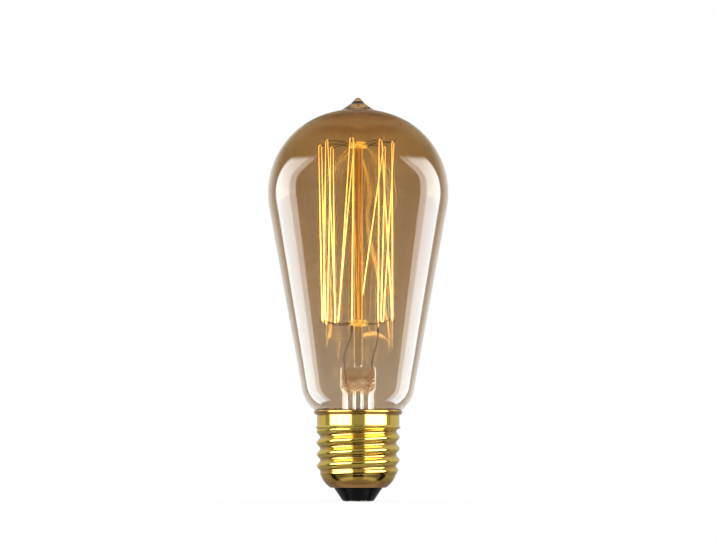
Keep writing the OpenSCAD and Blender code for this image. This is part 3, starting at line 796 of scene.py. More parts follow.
@dataclass
class Envelope:
    """The blown bulb: neck, shoulder, cone, crown and sealed tip, with its wall."""

    crown_r: float = 26.3 * MM
    bulb_rise: float = 69.4 * MM
    shoulder_r: float = 11.4 * MM
    shoulder_slope: float = 53.0
    neck_r: float = 11.9 * MM
    neck_hollow_r: float = 2.0 * MM
    lip_r: float = 13.35 * MM
    tip_rise: float = 4.4 * MM
    tip_r: float = 1.4 * MM
    tip_hollow_r: float = 13.0 * MM
    tip_bore_r: float = 0.5 * MM
    tip_bore_rise: float = 1.1 * MM
    tip_sunk: float = 0.001 * MM
    wall: float = 0.7 * MM
    uneven: float = 0.05
    uneven_from: float = 0.86
    uneven_reach: float = 3 * MM
    uneven_turn: float = 0.7
    crown_steps: int = 48
    cone_steps: int = 14
    sides: int = 160

    def __post_init__(self) -> None:
        """Works out the centres of the profile's arcs and the directions in which they meet."""
        low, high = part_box("glass_envelope")
        self.crown = Vector(((high.x - low.x) / 2 - self.crown_r, LEVELS.cap_top + self.bulb_rise))
        self.shoulder = (Vector((self.lip_r, LEVELS.cap_top))
                         - self.shoulder_r * towards(-self.shoulder_slope))
        way = self.crown - self.shoulder
        lean = math.acos((self.shoulder_r - self.crown_r) / way.length)
        self.cone = math.degrees(lean - math.atan2(way.y, way.x))
        neck_x = self.neck_r + self.neck_hollow_r
        reach = self.shoulder_r + self.neck_hollow_r
        self.neck = Vector((neck_x, self.shoulder.y - math.sqrt(reach**2 - (neck_x - self.shoulder.x) ** 2)))
        crown_top = self.crown.y + math.sqrt(self.crown_r**2 - self.crown.x**2)
        self.tip = Vector((0.0, crown_top + self.tip_rise - self.tip_r - self.tip_sunk))
        self.hollow = self.tip_hollow()

    def tip_hollow(self) -> Vector:
        """Finds the centre of the hollow arc that touches crown and tip from outside.

        Returns:
            The centre.
        """
        reach, other = self.crown_r + self.tip_hollow_r, self.tip_r + self.tip_hollow_r
        way = self.tip - self.crown
        along = (reach**2 - other**2 + way.length_squared) / (2 * way.length)
        aside = math.sqrt(reach**2 - along**2)
        unit = way.normalized()
        return self.crown + along * unit + aside * Vector((unit.y, -unit.x))

    def skin(self) -> Mesh:
        """Draws the outer surface from the tip down to the neck, and the inner one back up.

        Returns:
            The closed skin.
        """
        neck_meets = direction(self.shoulder, self.neck)
        crown_meets = direction(self.crown, self.hollow)
        inner_r = self.crown_r - self.wall
        bore_meets = math.degrees(math.acos((self.tip_bore_r - self.crown.x) / inner_r))
        bore_top = self.crown.y + inner_r * math.sin(math.radians(bore_meets)) + self.tip_bore_rise
        pen = Pen(0.0, self.tip.y + self.tip_r)
        pen.arc(*self.tip, direction(self.tip, self.hollow), 12)
        pen.arc(*self.hollow, crown_meets + 180, 14)
        pen.arc(*self.crown, -self.cone, self.crown_steps)
        pen.line(*(self.shoulder + self.shoulder_r * towards(-self.cone)), steps=self.cone_steps)
        pen.arc(*self.shoulder, neck_meets, 14)
        pen.arc(*self.neck, 180, 8)
        pen.line(self.neck_r, LEVELS.seal, steps=4)
        pen.line(self.neck_r - self.wall, LEVELS.seal)
        pen.line(self.neck_r - self.wall, self.neck.y, steps=4)
        pen.arc(*self.neck, neck_meets + 180, 8)
        pen.arc(*self.shoulder, -self.cone, 14)
        pen.line(*(self.crown + inner_r * towards(-self.cone)), steps=self.cone_steps)
        pen.arc(*self.crown, bore_meets, self.crown_steps)
        pen.line(self.tip_bore_r, bore_top, steps=2)
        pen.arc(0.0, bore_top, 90, 5)
        return moved(pen.turned(self.sides), self.hand_work)

    def hand_work(self, place: Vector) -> Vector:
        """Makes the hand-sealed tip a little uneven, inside its true profile.

        Args:
            place: a place on the bulb.

        Returns:
            Its move.
        """
        above = max(0.0, place.z - self.crown.y - self.uneven_from * self.crown_r)
        flat = level(place)
        if not above or not flat.length:
            return Vector()
        turn = math.atan2(place.y, place.x)
        lobes = (1 + math.cos(turn - self.uneven_turn)) * (0.6 + 0.4 * math.cos(3 * turn))
        inward = self.uneven * min(above, self.uneven_reach) * lobes
        return -min(inward, flat.length / 2) * flat.normalized()

    def build(self) -> None:
        """Makes the bulb."""
        finish_piece("bulb_glass", self.skin(), AMBER, "glass_envelope")


@dataclass
class Stem:
    """The clear glass mount: flare tube with its pinch, exhaust tube, arbor rod and two beads."""

    tube_r: float = 5.0 * MM
    wall: float = 0.7 * MM
    trumpet_r: float = 4.7 * MM
    neck_r: float = 11.9 * MM
    pinch_half_w: float = 5.6 * MM
    pinch_half_t: float = 1.9 * MM
    pinch_squareness: float = 3.2
    pinch_taper: float = 0.55
    mark_depth: float = 0.35 * MM
    mark_pitch: float = 1.0 * MM
    mark_slope: float = 38.0
    mark_foot: float = 34.2 * MM
    mark_top: float = 40.3 * MM
    mark_rows: int = 60
    mark_face: float = 0.6
    bend_rings: int = 12
    edge_rings: int = 8
    exhaust_r: float = 1.75 * MM
    exhaust_bore_r: float = 1.1 * MM
    exhaust_tip: float = 14.2 * MM
    arbor_r: float = 1.5 * MM
    arbor_depth: float = 1.2 * MM
    arbor_edge: float = 0.3 * MM
    arbor_wander: float = 0.02
    wander_grain: float = 90.0
    wander_grain_up: float = 140.0
    rod_sides: int = 48
    bead_r: float = 3.3 * MM
    bead_half_h: float = 1.0 * MM
    bead_sides: int = 96
    bead_draw: float = 0.352 * MM
    bead_sag: float = 0.18
    bead_uneven: float = 0.25
    bead_grain: float = 420.0
    bead_collar: float = 0.05

    def flare_rings(self, radius: float, end: tuple[float, float], top: float, closes: int) -> list[Ring]:
        """Rings of one wall from the pinch's side down to the trumpet's foot.

        Args:
            radius: radius of the tube's wall.
            end: half widths of the ring in which the wall ends under or at the pinch.
            top: height of that ring.
            closes: how many rings the tube takes to close.

        Returns:
            The rings, from the top down.
        """
        rings = []
        for step in range(closes + 1):
            share = step / closes
            rings.append(Ring(top + (LEVELS.flare_top - top) * share, blend(end[0], radius, share),
                              blend(end[1], radius, share),
                              self.pinch_squareness + (2 - self.pinch_squareness) * share))
        middle = self.trumpet_r - self.wall / 2
        centre = Vector((self.tube_r + middle, LEVELS.seal + middle))
        for step in range(self.bend_rings + 1):
            place = centre + (centre.x - radius) * towards(180 + 90 * step / self.bend_rings)
            rings.append(Ring(place.y, place.x, place.x))
        rings.append(Ring(rings[-1].height, self.neck_r, self.neck_r))
        return rings

    def flare(self) -> Mesh:
        """Grows flare tube and pinch: up the inner wall, round the foot and up the outer wall.

        Returns:
            The closed skin.
        """
        half_w, half_t = self.pinch_half_w, self.pinch_half_t
        inner = self.flare_rings(self.tube_r - self.wall, (half_w - self.wall, half_t - self.wall),
                                 LEVELS.pinch - self.wall, 8)
        outer = self.flare_rings(self.tube_r, (half_w, half_t), LEVELS.pinch, 10)
        loft = Loft(inner[0])
        for ring in inner[1:] + outer[::-1]:
            loft.grow(ring)
        straight = LEVELS.pinch_top - half_t - LEVELS.pinch
        for step in range(1, self.mark_rows + 1):
            height = LEVELS.pinch + straight * step / self.mark_rows
            loft.grow(Ring(height, half_w, half_t, self.pinch_squareness))
        for step in range(1, self.edge_rings + 1):
            way = towards(90 * step / self.edge_rings)
            drop = half_t * (1 - way.x)
            loft.grow(Ring(LEVELS.pinch_top - half_t * (1 - way.y), half_w - drop,
                           half_t - self.pinch_taper * drop, self.pinch_squareness))
        return moved(loft.closed(), self.jaw_marks)

    def jaw_marks(self, place: Vector) -> Vector:
        """Presses the jaws' slanting ridges into the flat faces of the pinch.

        Args:
            place: a place on the pinch.

        Returns:
            Its move.
        """
        if not self.mark_foot < place.z < self.mark_top or abs(place.y) < self.mark_face * self.pinch_half_t:
            return Vector()
        slope = math.radians(self.mark_slope)
        along = place.z * math.cos(slope) - place.x * math.sin(slope)
        fade = math.sin(math.pi * (place.z - self.mark_foot) / (self.mark_top - self.mark_foot))
        depth = self.mark_depth * fade * (0.5 + 0.5 * math.cos(math.tau * along / self.mark_pitch))
        return Vector((0.0, -math.copysign(depth, place.y), 0.0))

    def exhaust(self) -> Mesh:
        """Draws the exhaust tube with its rounded, sealed lower end.

        Returns:
            The closed skin.
        """
        centre = self.exhaust_tip + self.exhaust_r
        top = LEVELS.pinch - self.wall
        pen = Pen(0.0, self.exhaust_tip)
        pen.arc(0.0, centre, 0, 10)
        pen.line(self.exhaust_r, top, steps=10)
        pen.line(self.exhaust_bore_r, top)
        pen.line(self.exhaust_bore_r, centre, steps=10)
        pen.arc(0.0, centre, -90, 8)
        return pen.turned(self.rod_sides)

    def arbor(self) -> Mesh:
        """Draws the arbor rod, whose thickness wanders a little.

        Returns:
            The closed skin.
        """
        foot, edge = LEVELS.pinch_top - self.arbor_depth, self.arbor_edge
        pen = Pen(0.0, foot)
        pen.line(self.arbor_r - edge, foot)
        pen.arc(self.arbor_r - edge, foot + edge, 0, 3)
        pen.line(self.arbor_r, LEVELS.upper_bead - edge, steps=60)
        pen.arc(self.arbor_r - edge, LEVELS.upper_bead - edge, 90, 3)
        pen.line(0.0, LEVELS.upper_bead)
        return moved(pen.turned(self.rod_sides), self.draw_marks)

    def draw_marks(self, place: Vector) -> Vector:
        """Draws the rod unevenly, which only makes it thinner.

        Args:
            place: a place on the rod.

        Returns:
            Its move.
        """
        across = place * self.wander_grain
        wander = 0.5 + 0.5 * noise.noise(Vector((across.x, across.y, place.z * self.wander_grain_up)))
        return -self.arbor_wander * wander * level(place)

    def bead(self, middle: float, turns: Sequence[float], domed: bool) -> Mesh:
        """A glass bead melted on the rod, swollen where each wire enters it.

        Args:
            middle: height of its middle.
            turns: directions of its wires, in radians.
            domed: closes over the end of the rod, instead of letting it through.

        Returns:
            The mesh.
        """
        half = self.bead_half_h
        edge_x = self.bead_r - half
        pen = Pen(0.0, middle + half)
        pen.line(edge_x, middle + half, steps=6)
        pen.arc(edge_x, middle, -90, 14)
        pen.line(0.0, middle - half, steps=6)

        def melt(place: Vector) -> Vector:
            """Draws the bead in between its wires and sags its faces.

            Args:
                place: a place on the bead.

            Returns:
                Its move.
            """
            flat = level(place)
            if flat.length < self.arbor_r:
                return Vector()
            turn = math.atan2(place.y, place.x)
            near = max(0.0, max(math.cos(turn - wire) for wire in turns))
            share = (flat.length - self.arbor_r) / (self.bead_r - self.arbor_r)
            draw = self.bead_draw * share * (1 - near**10)
            uneven = self.bead_uneven * abs(noise.noise(place * self.bead_grain))
            sink = share * (uneven + self.bead_sag * share)
            drop = -math.copysign(half * sink, place.z - middle) if domed or share > self.bead_collar else 0.0
            return -draw * flat.normalized() + drop * UP

        return moved(pen.turned(self.bead_sides), melt)

    def build(self, upper_turns: Sequence[float], lower_turns: Sequence[float]) -> None:
        """Makes the stem's pieces.

        Args:
            upper_turns: directions of the wires in the upper bead, in radians.
            lower_turns: directions of the wires in the lower bead.
        """
        finish_piece("flare_and_pinch", self.flare(), CLEAR, "stem_flare")
        finish_piece("exhaust_stub", self.exhaust(), CLEAR, "exhaust_tube")
        finish_piece("arbor", self.arbor(), PAINTED_LIT_GLASS, "arbor_rod")
        finish_piece("bead_low", self.bead(LEVELS.lower_bead, lower_turns, False), BEAD, "lower_bead")
        finish_piece("bead_high", self.bead(LEVELS.upper_bead, upper_turns, True), BEAD, "upper_bead")


@dataclass
class HookRow:
    """One row of support wires around a bead: where each stands, and which way its curl turns."""

    name: str
    bead_level: float
    cage_r: float
    upward: float
    turns: tuple[float, ...]
    lifts: tuple[float, ...]
    twists: tuple[float, ...]
    rise: float = 0.6 * MM
    shift: float = 0.6 * MM

    def seat(self, number: int) -> Vector:
        """Finds where a hook carries the filament.

        Args:
            number: the hook's place in the row, from 0.

        Returns:
            The place.
        """
        turn = math.radians(self.turns[number])
        return Vector((self.cage_r * math.sin(turn) - self.shift, -self.cage_r * math.cos(turn),
                       self.bead_level + self.rise + self.lifts[number] * MM))

    def bearings(self) -> list[float]:
        """Directions of the hooks from the arbor, in radians."""
        seats = [self.seat(number) for number in range(len(self.turns))]
        return [math.atan2(seat.y, seat.x) for seat in seats]


@dataclass
class Cage:
    """Support wires and the filament that runs over them."""

    support_r: float = 0.17 * MM
    support_depth: float = 1.4 * MM
    bow: float = 0.6 * MM
    curl_h: float = 0.95 * MM
    curl_r: float = 0.66 * MM
    bead_r: float = 3.3 * MM
    upper_cage_r: float = 11.8 * MM
    lower_cage_r: float = 11.55 * MM
    filament_r: float = 0.125 * MM
    turn_r: float = 0.55 * MM
    hook_gap: float = 0.03 * MM
    turn_steps: int = 14
    bow_steps: int = 8
    curl_steps: int = 6
    clamp_h: float = 1.9 * MM
    clamp_foot: float = 0.4 * MM
    straight_end: float = 0.6 * MM
    left_clamp: Vector = Vector((-1.95, -10.5, 53.0)) * MM
    right_clamp: Vector = Vector((6.2, -8.6, 52.4)) * MM

    def __post_init__(self) -> None:
        """Sets out the two rows of hooks."""
        self.upper = HookRow("upper_hook", LEVELS.upper_bead, self.upper_cage_r, 1.0,
                             (-7, -52, -101, -138, -178, -230, -279, -320),
                             (-0.3, -0.3, -0.5, -0.2, -0.3, -0.2, 0, -0.4),
                             (0, 0, -45, 0, 0, 0, -30, 0))
        self.lower = HookRow("lower_hook", LEVELS.lower_bead, self.lower_cage_r, -1.0,
                             (-31, -65, -124, -146, -181, -226, -280),
                             (-0.8, -0.1, -0.1, 0, 0, 0.6, 0.6), (0, 0, 0, 0, 0, 0, 0))

    def support(self, row: HookRow, number: int) -> Mesh:
        """Draws a support wire: straight in the bead, bowed, level under the filament, curled.

        Args:
            row: its row.
            number: its place in the row, from 0.

        Returns:
            The mesh.
        """
        seat = row.seat(number)
        reach = level(seat).length
        clear = self.bead_r + 2 * self.support_r
        lift = seat.z - row.bead_level
        run = reach - self.turn_r - clear
        profile = [(self.bead_r - self.support_depth, 0.0)]
        for step in range(self.bow_steps + 1):
            share = step / self.bow_steps
            bow = self.bow * math.sin(math.pi * share)
            profile.append((clear + share * run, share * lift + row.upward * bow))
        for step in range(self.curl_steps + 1):
            way = towards(90 * step / self.curl_steps)
            profile.append((reach + self.curl_r * way.y, lift + row.upward * self.curl_r * (1 - way.x)))
        profile.append((reach + self.curl_r, lift + row.upward * self.curl_h))
        out = level(seat).normalized()
        return drawn_wire([out * distance + (row.bead_level + height) * UP for distance, height in profile],
                          self.support_r)

    def turn(self, row: HookRow, number: int) -> list[Vector]:
        """Leads the filament half a turn around a hook.

        Args:
            row: the hook's row.
            number: its place in the row, from 0.

        Returns:
            The route's points.
        """
        seat = row.seat(number)
        out = level(seat).normalized()
        twist = math.radians(row.twists[number])
        along = math.cos(twist) * Vector((out.y, -out.x, 0.0)) + math.sin(twist) * out
        drop = self.filament_r + self.support_r + self.hook_gap - self.turn_r
        centre = seat + row.upward * drop * UP
        angles = [math.pi * step / self.turn_steps for step in range(self.turn_steps + 1)]
        return [centre + self.turn_r * (-math.cos(angle) * along + row.upward * math.sin(angle) * UP)
                for angle in angles]

    def filament_route(self) -> list[Vector]:
        """Leads the filament up from the left clamp, over and under the hooks, and down to the right clamp.

        Returns:
            The route's points.
        """
        low, high = self.clamp_foot * UP, (self.clamp_h + self.straight_end) * UP
        route = [self.left_clamp + low, self.left_clamp + high]
        for number in range(len(self.upper.turns)):
            route += self.turn(self.upper, number)
            if number < len(self.lower.turns):
                route += self.turn(self.lower, number)
        return route + [self.right_clamp + high, self.right_clamp + low]

    def build(self) -> None:
        """Makes the fifteen support wires and the filament."""
        for row in (self.upper, self.lower):
            for number in range(len(row.turns)):
                finish_piece(f"{row.name}_wire_{number + 1}", self.support(row, number), NICKEL,
                             f"{row.name}_{number + 1}")
        filament = drawn_wire(self.filament_route(), self.filament_r)
        piece = finish_piece("filament_strand", filament, GLOW, "filament")
        piece.data.materials[0].cycles.emission_sampling = "NONE"


@dataclass
class Leads:
    """Inner leads with their clamps, seal wires in the pinch, and the copper outer leads."""

    inner_r: float = 0.18 * MM
    seal_r: float = 0.25 * MM
    outer_r: float = 0.18 * MM
    left_bow: float = 1.2 * MM
    right_bow: float = 0.2 * MM
    lead_x: float = 4.1 * MM
    outer_x: float = 3.1 * MM
    lead_root: float = 1.2 * MM
    pull: float = 3.0 * MM
    clamp_w: float = 0.8 * MM
    seal_drop: float = 0.7 * MM
    lead_steps: int = 28
    clamp_nip: float = 0.16
    clamp_edge: float = 0.14 * MM
    gap: float = 0.02 * MM

    def __post_init__(self) -> None:
        """Works out where the seal wires start and end."""
        self.seal_foot = LEVELS.pinch - self.seal_drop
        self.seal_top = LEVELS.pinch_top - self.lead_root

    def seal_point(self, side: float, height: float) -> Vector:
        """Place on the line of a seal wire, which leans outwards on its way up."""
        share = (height - self.seal_foot) / (self.seal_top - self.seal_foot)
        return Vector((side * (self.outer_x + (self.lead_x - self.outer_x) * share), 0.0, height))

    def inner(self, side: float, clamp: Vector, bow: float, cage: Cage) -> Mesh:
        """Inner lead from the pinch to its clamp, a strip folded over the filament's end.

        Args:
            side: -1 on the left and 1 on the right.
            clamp: the foot of the clamp.
            bow: how far the lead leans outwards as it leaves the pinch.
            cage: the cage, for the clamp's height.

        Returns:
            The mesh.
        """
        root = self.seal_point(side, self.seal_top + self.gap)
        leave = self.seal_point(side, LEVELS.pinch_top + 2 * self.inner_r)
        knots = (leave, leave + Vector((side * bow, 0.0, self.pull)),
                 clamp + Vector((0.0, 1 * MM, -self.pull)), clamp + cage.clamp_foot / 4 * UP)
        route = [root] + [self.bezier(knots, step / self.lead_steps) for step in range(self.lead_steps + 1)]
        return joined(drawn_wire(route, self.inner_r), self.clamp(clamp, cage))

    @staticmethod
    def bezier(knots: Sequence[Vector], share: float) -> Vector:
        """Finds a place on a cubic curve.

        Args:
            knots: its four control points.
            share: how far along it, from 0 to 1.

        Returns:
            The place.
        """
        rest = 1 - share
        return (rest**3 * knots[0] + 3 * share * rest**2 * knots[1]
                + 3 * share**2 * rest * knots[2] + share**3 * knots[3])

    def clamp(self, foot: Vector, cage: Cage) -> Mesh:
        """Shapes a flattened clamp, nipped in the middle and rounded on its edges.

        Args:
            foot: the middle of its foot.
            cage: the cage, for its height.

        Returns:
            The mesh.
        """
        mesh = bmesh.new()
        bmesh.ops.create_cube(mesh, size=1.0)
        bmesh.ops.scale(mesh, vec=(self.clamp_w, self.clamp_w, cage.clamp_h), verts=mesh.verts)
        upright = [edge for edge in mesh.edges if abs(edge.verts[0].co.z - edge.verts[1].co.z) > MM]
        bmesh.ops.subdivide_edges(mesh, edges=upright, cuts=5, use_grid_fill=True)
        moved(mesh, lambda place: -self.clamp_nip * math.cos(math.pi * place.z / cage.clamp_h) ** 2
              * level(place))
        corners = [edge for edge in mesh.edges if len(edge.link_faces) == 2 and edge.calc_face_angle() > 1.0]
        bmesh.ops.bevel(mesh, geom=corners, offset=self.clamp_edge, segments=3, profile=0.5, affect="EDGES",
                        material=-1)
        bmesh.ops.translate(mesh, vec=foot + cage.clamp_h / 2 * UP, verts=mesh.verts)
        bmesh.ops.recalc_face_normals(mesh, faces=mesh.faces)
        return mesh

    def outer_routes(self) -> tuple[tuple, tuple]:
        """Hand-bent routes of the outer leads in millimetres, as in the CAD source.

        Returns:
            The left lead's points and the right lead's.
        """
        start, tip, seal = self.seal_foot / MM - 0.02, 14.2, LEVELS.seal / MM
        x, groove, slot = self.outer_x / MM, 12.42, 27.54
        under = seal - 0.7 - 0.8
        left = ((-x, 0, start), (-x, 0, tip + 2), (-2.4, 0, tip - 0.6), (-0.8, 0, tip - 2.2),
                (0, 0, tip - 4), (0, 0, 0.57))
        right = ((x, 0, start), (x, 0, seal + 2), (x + 0.3, 1.2, seal - 0.4), (3, 5, under),
                 (1.2, 9.6, under), (0.2, groove - 0.6, under + 0.1), (0, groove, under + 0.9),
                 (0, groove, slot - 0.5), (0, groove + 0.12, slot - 0.32), (0, groove + 0.35, slot - 0.1),
                 (0, groove + 0.7, slot), (0, 13.59, slot))
        return left, right

    def build(self, cage: Cage) -> None:
        """Makes the six leads.

        Args:
            cage: the cage that the inner leads carry.
        """
        sides = (("left", -1, cage.left_clamp, self.left_bow), ("right", 1, cage.right_clamp, self.right_bow))
        for word, side, clamp, bow in sides:
            finish_piece(f"lead_in_{word}", self.inner(side, clamp, bow, cage), NICKEL, f"inner_lead_{word}")
        for word, side, _, _ in sides:
            route = [self.seal_point(side, self.seal_foot), self.seal_point(side, self.seal_top)]
            finish_piece(f"seal_wire_{word}_drawn", drawn_wire(route, self.seal_r), COPPER,
                         f"seal_wire_{word}")
        for (word, *_), points in zip(sides, self.outer_routes()):
            route = [Vector(point) * MM for point in points]
            finish_piece(f"lead_out_{word}", drawn_wire(route, self.outer_r), COPPER, f"outer_lead_{word}")


@dataclass
class ScrewCap:
    """The brass screw shell with its insulator, contact, solder and cement."""

    crest_r: float = 13.15 * MM
    root_r: float = 12.1 * MM
    pitch: float = 3.629 * MM
    thread_start: float = 91.0
    wall: float = 0.3 * MM
    collar_r: float = 13.0 * MM
    rim_r: float = 13.65 * MM
    rim_edge: float = 0.25 * MM
    collar_step: float = 0.35 * MM
    collar_under: float = 0.15 * MM
    collar_slack: float = 0.01 * MM
    wall_slack: float = 0.1 * MM
    collar_edge: float = 0.2 * MM
    foot_flat: float = 0.3 * MM
    foot_r: float = 9.0 * MM
    foot_bow_r: float = 8.0 * MM
    insulator_top_r: float = 7.7 * MM
    insulator_tip_r: float = 5.1 * MM
    contact_r: float = 4.2 * MM
    contact_proud: float = 0.15 * MM
    contact_back: float = 0.55 * MM
    contact_bevel: float = 0.1 * MM
    dish_r: float = 2.0 * MM
    dish_depth: float = 0.3 * MM
    lead_hole_r: float = 0.9 * MM
    plug_h: float = 2.3 * MM
    gap: float = 0.02 * MM
    insulator_gap: float = 0.06 * MM
    sides: int = 144
    thread_rows: int = 64
    # Painted shade on the downward-facing foot, strongest at the bottom.
    tarnish_foot: float = 1.9
    cast_edge: float = 0.45 * MM
    blob_r: float = 0.9 * MM
    blob_level: float = 27.39 * MM
    blob_lump: float = 0.06
    blob_grain: float = 1500.0
    ripple_depth: float = 0.04 * MM
    ripple_grain: float = 1600.0
    cement_in_r: float = 11.92 * MM
    cement_out_r: float = 12.68 * MM
    cement_drop: float = 0.7 * MM
    crumble_from: float = 0.6
    crumble_depth: float = 0.3 * MM
    crumble_grain: float = 900.0
    lead_groove: float = 1.2 * MM

    def __post_init__(self) -> None:
        """Works out the centre of the curved foot's arc, and where the thread runs out."""
        start, goal = Vector((self.foot_r, LEVELS.foot)), Vector((self.root_r, LEVELS.thread))
        chord = goal - start
        rise = math.sqrt(self.foot_bow_r**2 - (chord.length / 2) ** 2)
        self.foot_centre = (start + goal) / 2 + rise * Vector((-chord.y, chord.x)).normalized()
        self.foot_ends = (direction(self.foot_centre, start), direction(self.foot_centre, goal))
        self.run_out = self.pitch / 4

    def thread_swell(self, place: Vector) -> float:
        """Works out how far the rolled thread stands over its root.

        Args:
            place: a place on the shell.

        Returns:
            The swell in metres.
        """
        run_in = held((place.z - LEVELS.thread) / (self.pitch / 2))
        turn = math.degrees(math.atan2(place.y, place.x)) - self.thread_start
        phase = math.tau * (place.z - LEVELS.thread - self.pitch * turn / 360) / self.pitch
        return (self.crest_r - self.root_r) * run_in * (0.5 - 0.5 * math.cos(phase))

    def shell(self) -> Mesh:
        """Draws shell, collar and turned-out rim, and rolls the thread into it.

        Returns:
            The mesh, with its tarnish and painted shade as an attribute.
        """
        rows, run_out_foot = self.thread_rows, LEVELS.collar - self.run_out
        mouth = self.insulator_top_r + self.insulator_gap
        rim_x = self.rim_r - self.rim_edge
        bore = self.collar_r - self.wall
        pen = Pen(mouth, LEVELS.foot)
        pen.line(self.foot_r - self.foot_flat, LEVELS.foot, steps=2)
        pen.arc(*self.foot_centre, self.foot_ends[0], 2)
        pen.arc(*self.foot_centre, self.foot_ends[1], 16)
        pen.line(self.root_r, run_out_foot, steps=rows)
        pen.line(self.root_r, LEVELS.collar, steps=8)
        pen.line(self.collar_r, LEVELS.collar + self.collar_step, steps=4)
        pen.line(self.collar_r, LEVELS.rim - self.collar_edge, steps=8)
        pen.arc(self.collar_r + self.collar_edge, LEVELS.rim - self.collar_edge, 90, 4)
        pen.line(rim_x, LEVELS.rim, steps=1)
        pen.arc(rim_x, LEVELS.rim + self.rim_edge, 0, 5)
        pen.arc(rim_x, LEVELS.cap_top - self.rim_edge, 90, 5)
        pen.line(rim_x - self.gap, LEVELS.cap_top - self.rim_edge)
        pen.line(rim_x - self.gap, LEVELS.rim + self.wall)
        pen.line(bore, LEVELS.rim, steps=2)
        pen.line(bore, LEVELS.collar, steps=4)
        pen.line(self.root_r - self.wall, run_out_foot, steps=8)
        pen.line(self.root_r - self.wall, LEVELS.thread, steps=rows)
        pen.arc(*self.foot_centre, self.foot_ends[0], 12)
        pen.line(mouth, LEVELS.foot + self.wall)
        pen.line(mouth, LEVELS.foot)
        return self.rolled(pen.turned(self.sides))

    def rolled(self, mesh: Mesh) -> Mesh:
        """Rolls the thread into the shell, and darkens the thread's roots with tarnish and painted shade, the
        foot with painted shade, and the rim.

        Args:
            mesh: the plain shell.

        Returns:
            The same mesh.
        """
        tarnish = mesh.verts.layers.float.new("tarnish")
        for vert in mesh.verts:
            flat = level(vert.co)
            inside = LEVELS.thread < vert.co.z < LEVELS.collar + self.collar_slack
            if not inside or flat.length > self.collar_r - self.wall_slack:
                vert[tarnish] = self.end_darkening(vert.co.z)
                continue
            swell = self.thread_swell(vert.co)
            close = held((vert.co.z - LEVELS.collar + self.run_out) / self.run_out)
            goal = self.collar_r - self.collar_under - self.root_r
            vert.co += flat.normalized() * (swell + close * (goal - swell))
            # Darker in the thread's roots: tarnish together with painted shade of brass mirroring brass in
            # the hollows.
            vert[tarnish] = (1 - swell / (self.crest_r - self.root_r)) ** 3 * (1 - close)
        return mesh

    def end_darkening(self, height: float) -> float:
        """Works out how dark the rim and the foot are: the rim fully, the foot darker towards the bottom as
        painted shade of its downward face.

        Args:
            height: height on the shell.

        Returns:
            The darkening, 1 where the metal is fully dark.
        """
        if height > LEVELS.rim - self.rim_edge:
            return 1.0
        # Painted shade: the downward-facing foot darkens towards the bottom.
        above = (height - LEVELS.foot) / (LEVELS.thread - LEVELS.foot)
        return max(0.0, self.tarnish_foot * (1 - above))

    def insulator(self) -> Mesh:
        """Draws the insulator cast in the shell's foot, with a rounded edge around the contact.

        Returns:
            The closed skin.
        """
        seat, top = self.contact_back + self.gap, LEVELS.foot + self.plug_h
        inner_r = self.foot_bow_r - self.wall - self.insulator_gap
        edge_x = self.insulator_tip_r - self.cast_edge
        pen = Pen(self.lead_hole_r, seat)
        pen.line(self.contact_r + self.gap, seat, steps=2)
        pen.line(self.contact_r + self.gap, self.contact_proud + self.contact_bevel)
        pen.line(self.contact_r + self.contact_bevel, self.contact_proud)
        pen.line(edge_x, self.contact_proud)
        pen.arc(edge_x, self.contact_proud + self.cast_edge, -32, 6)
        pen.line(self.insulator_top_r, LEVELS.foot, steps=6)
        pen.line(self.insulator_top_r, LEVELS.foot + self.wall + self.insulator_gap)
        pen.line(*(self.foot_centre + inner_r * towards(self.foot_ends[0] + 12)))
        goal = math.degrees(math.asin((top - self.foot_centre.y) / inner_r))
        pen.arc(*self.foot_centre, goal, 8)
        pen.line(self.lead_hole_r, top, steps=3)
        pen.line(self.lead_hole_r, seat, steps=3)
        return pen.turned(96)

    def contact(self) -> Mesh:
        """Draws the centre contact, stamped with a dish and a rounded rim.

        Returns:
            The closed skin.
        """
        edge = self.dish_depth / 2
        pen = Pen(self.lead_hole_r, self.dish_depth)
        pen.line(self.dish_r - self.dish_depth, self.dish_depth, steps=2)
        pen.line(self.dish_r, 0.0, steps=2)
        pen.line(self.contact_r - edge, 0.0, steps=4)
        pen.arc(self.contact_r - edge, edge, 0, 4)
        pen.line(self.contact_r, self.contact_back)
        pen.line(self.lead_hole_r, self.contact_back, steps=4)
        pen.line(self.lead_hole_r, self.dish_depth)
        return pen.turned(96)

    def contact_blob(self) -> Mesh:
        """Draws the solder that fills the contact's hole and spreads unevenly in its dish.

        Returns:
            The closed skin.
        """
        hole = self.lead_hole_r - self.gap
        floor = self.dish_depth - self.gap
        spread = self.dish_r - self.dish_depth - self.gap
        pen = Pen(0.0, 0.0)
        pen.line((hole + spread) / 2, 0.0, steps=8)
        pen.line(spread, floor, steps=5)
        pen.line(hole, floor, steps=2)
        pen.line(hole, self.contact_back)
        pen.line(0.0, self.contact_back, steps=2)

        def ripple(place: Vector) -> Vector:
            """Frozen ripples, sunk into the solder's face."""
            depth = self.ripple_depth * (1 + noise.noise(place * self.ripple_grain))
            return depth * UP if place.z < floor / 3 else Vector()

        return moved(pen.turned(48), ripple)

    def rim_blob(self) -> Mesh:
        """Melts solder over the side lead's end, on the outside of the rim.

        Returns:
            The closed skin.
        """
        mesh = bmesh.new()
        bmesh.ops.create_uvsphere(mesh, u_segments=32, v_segments=20, radius=self.blob_r)
        bmesh.ops.translate(mesh, vec=Vector((0.0, self.rim_r, self.blob_level)), verts=mesh.verts)

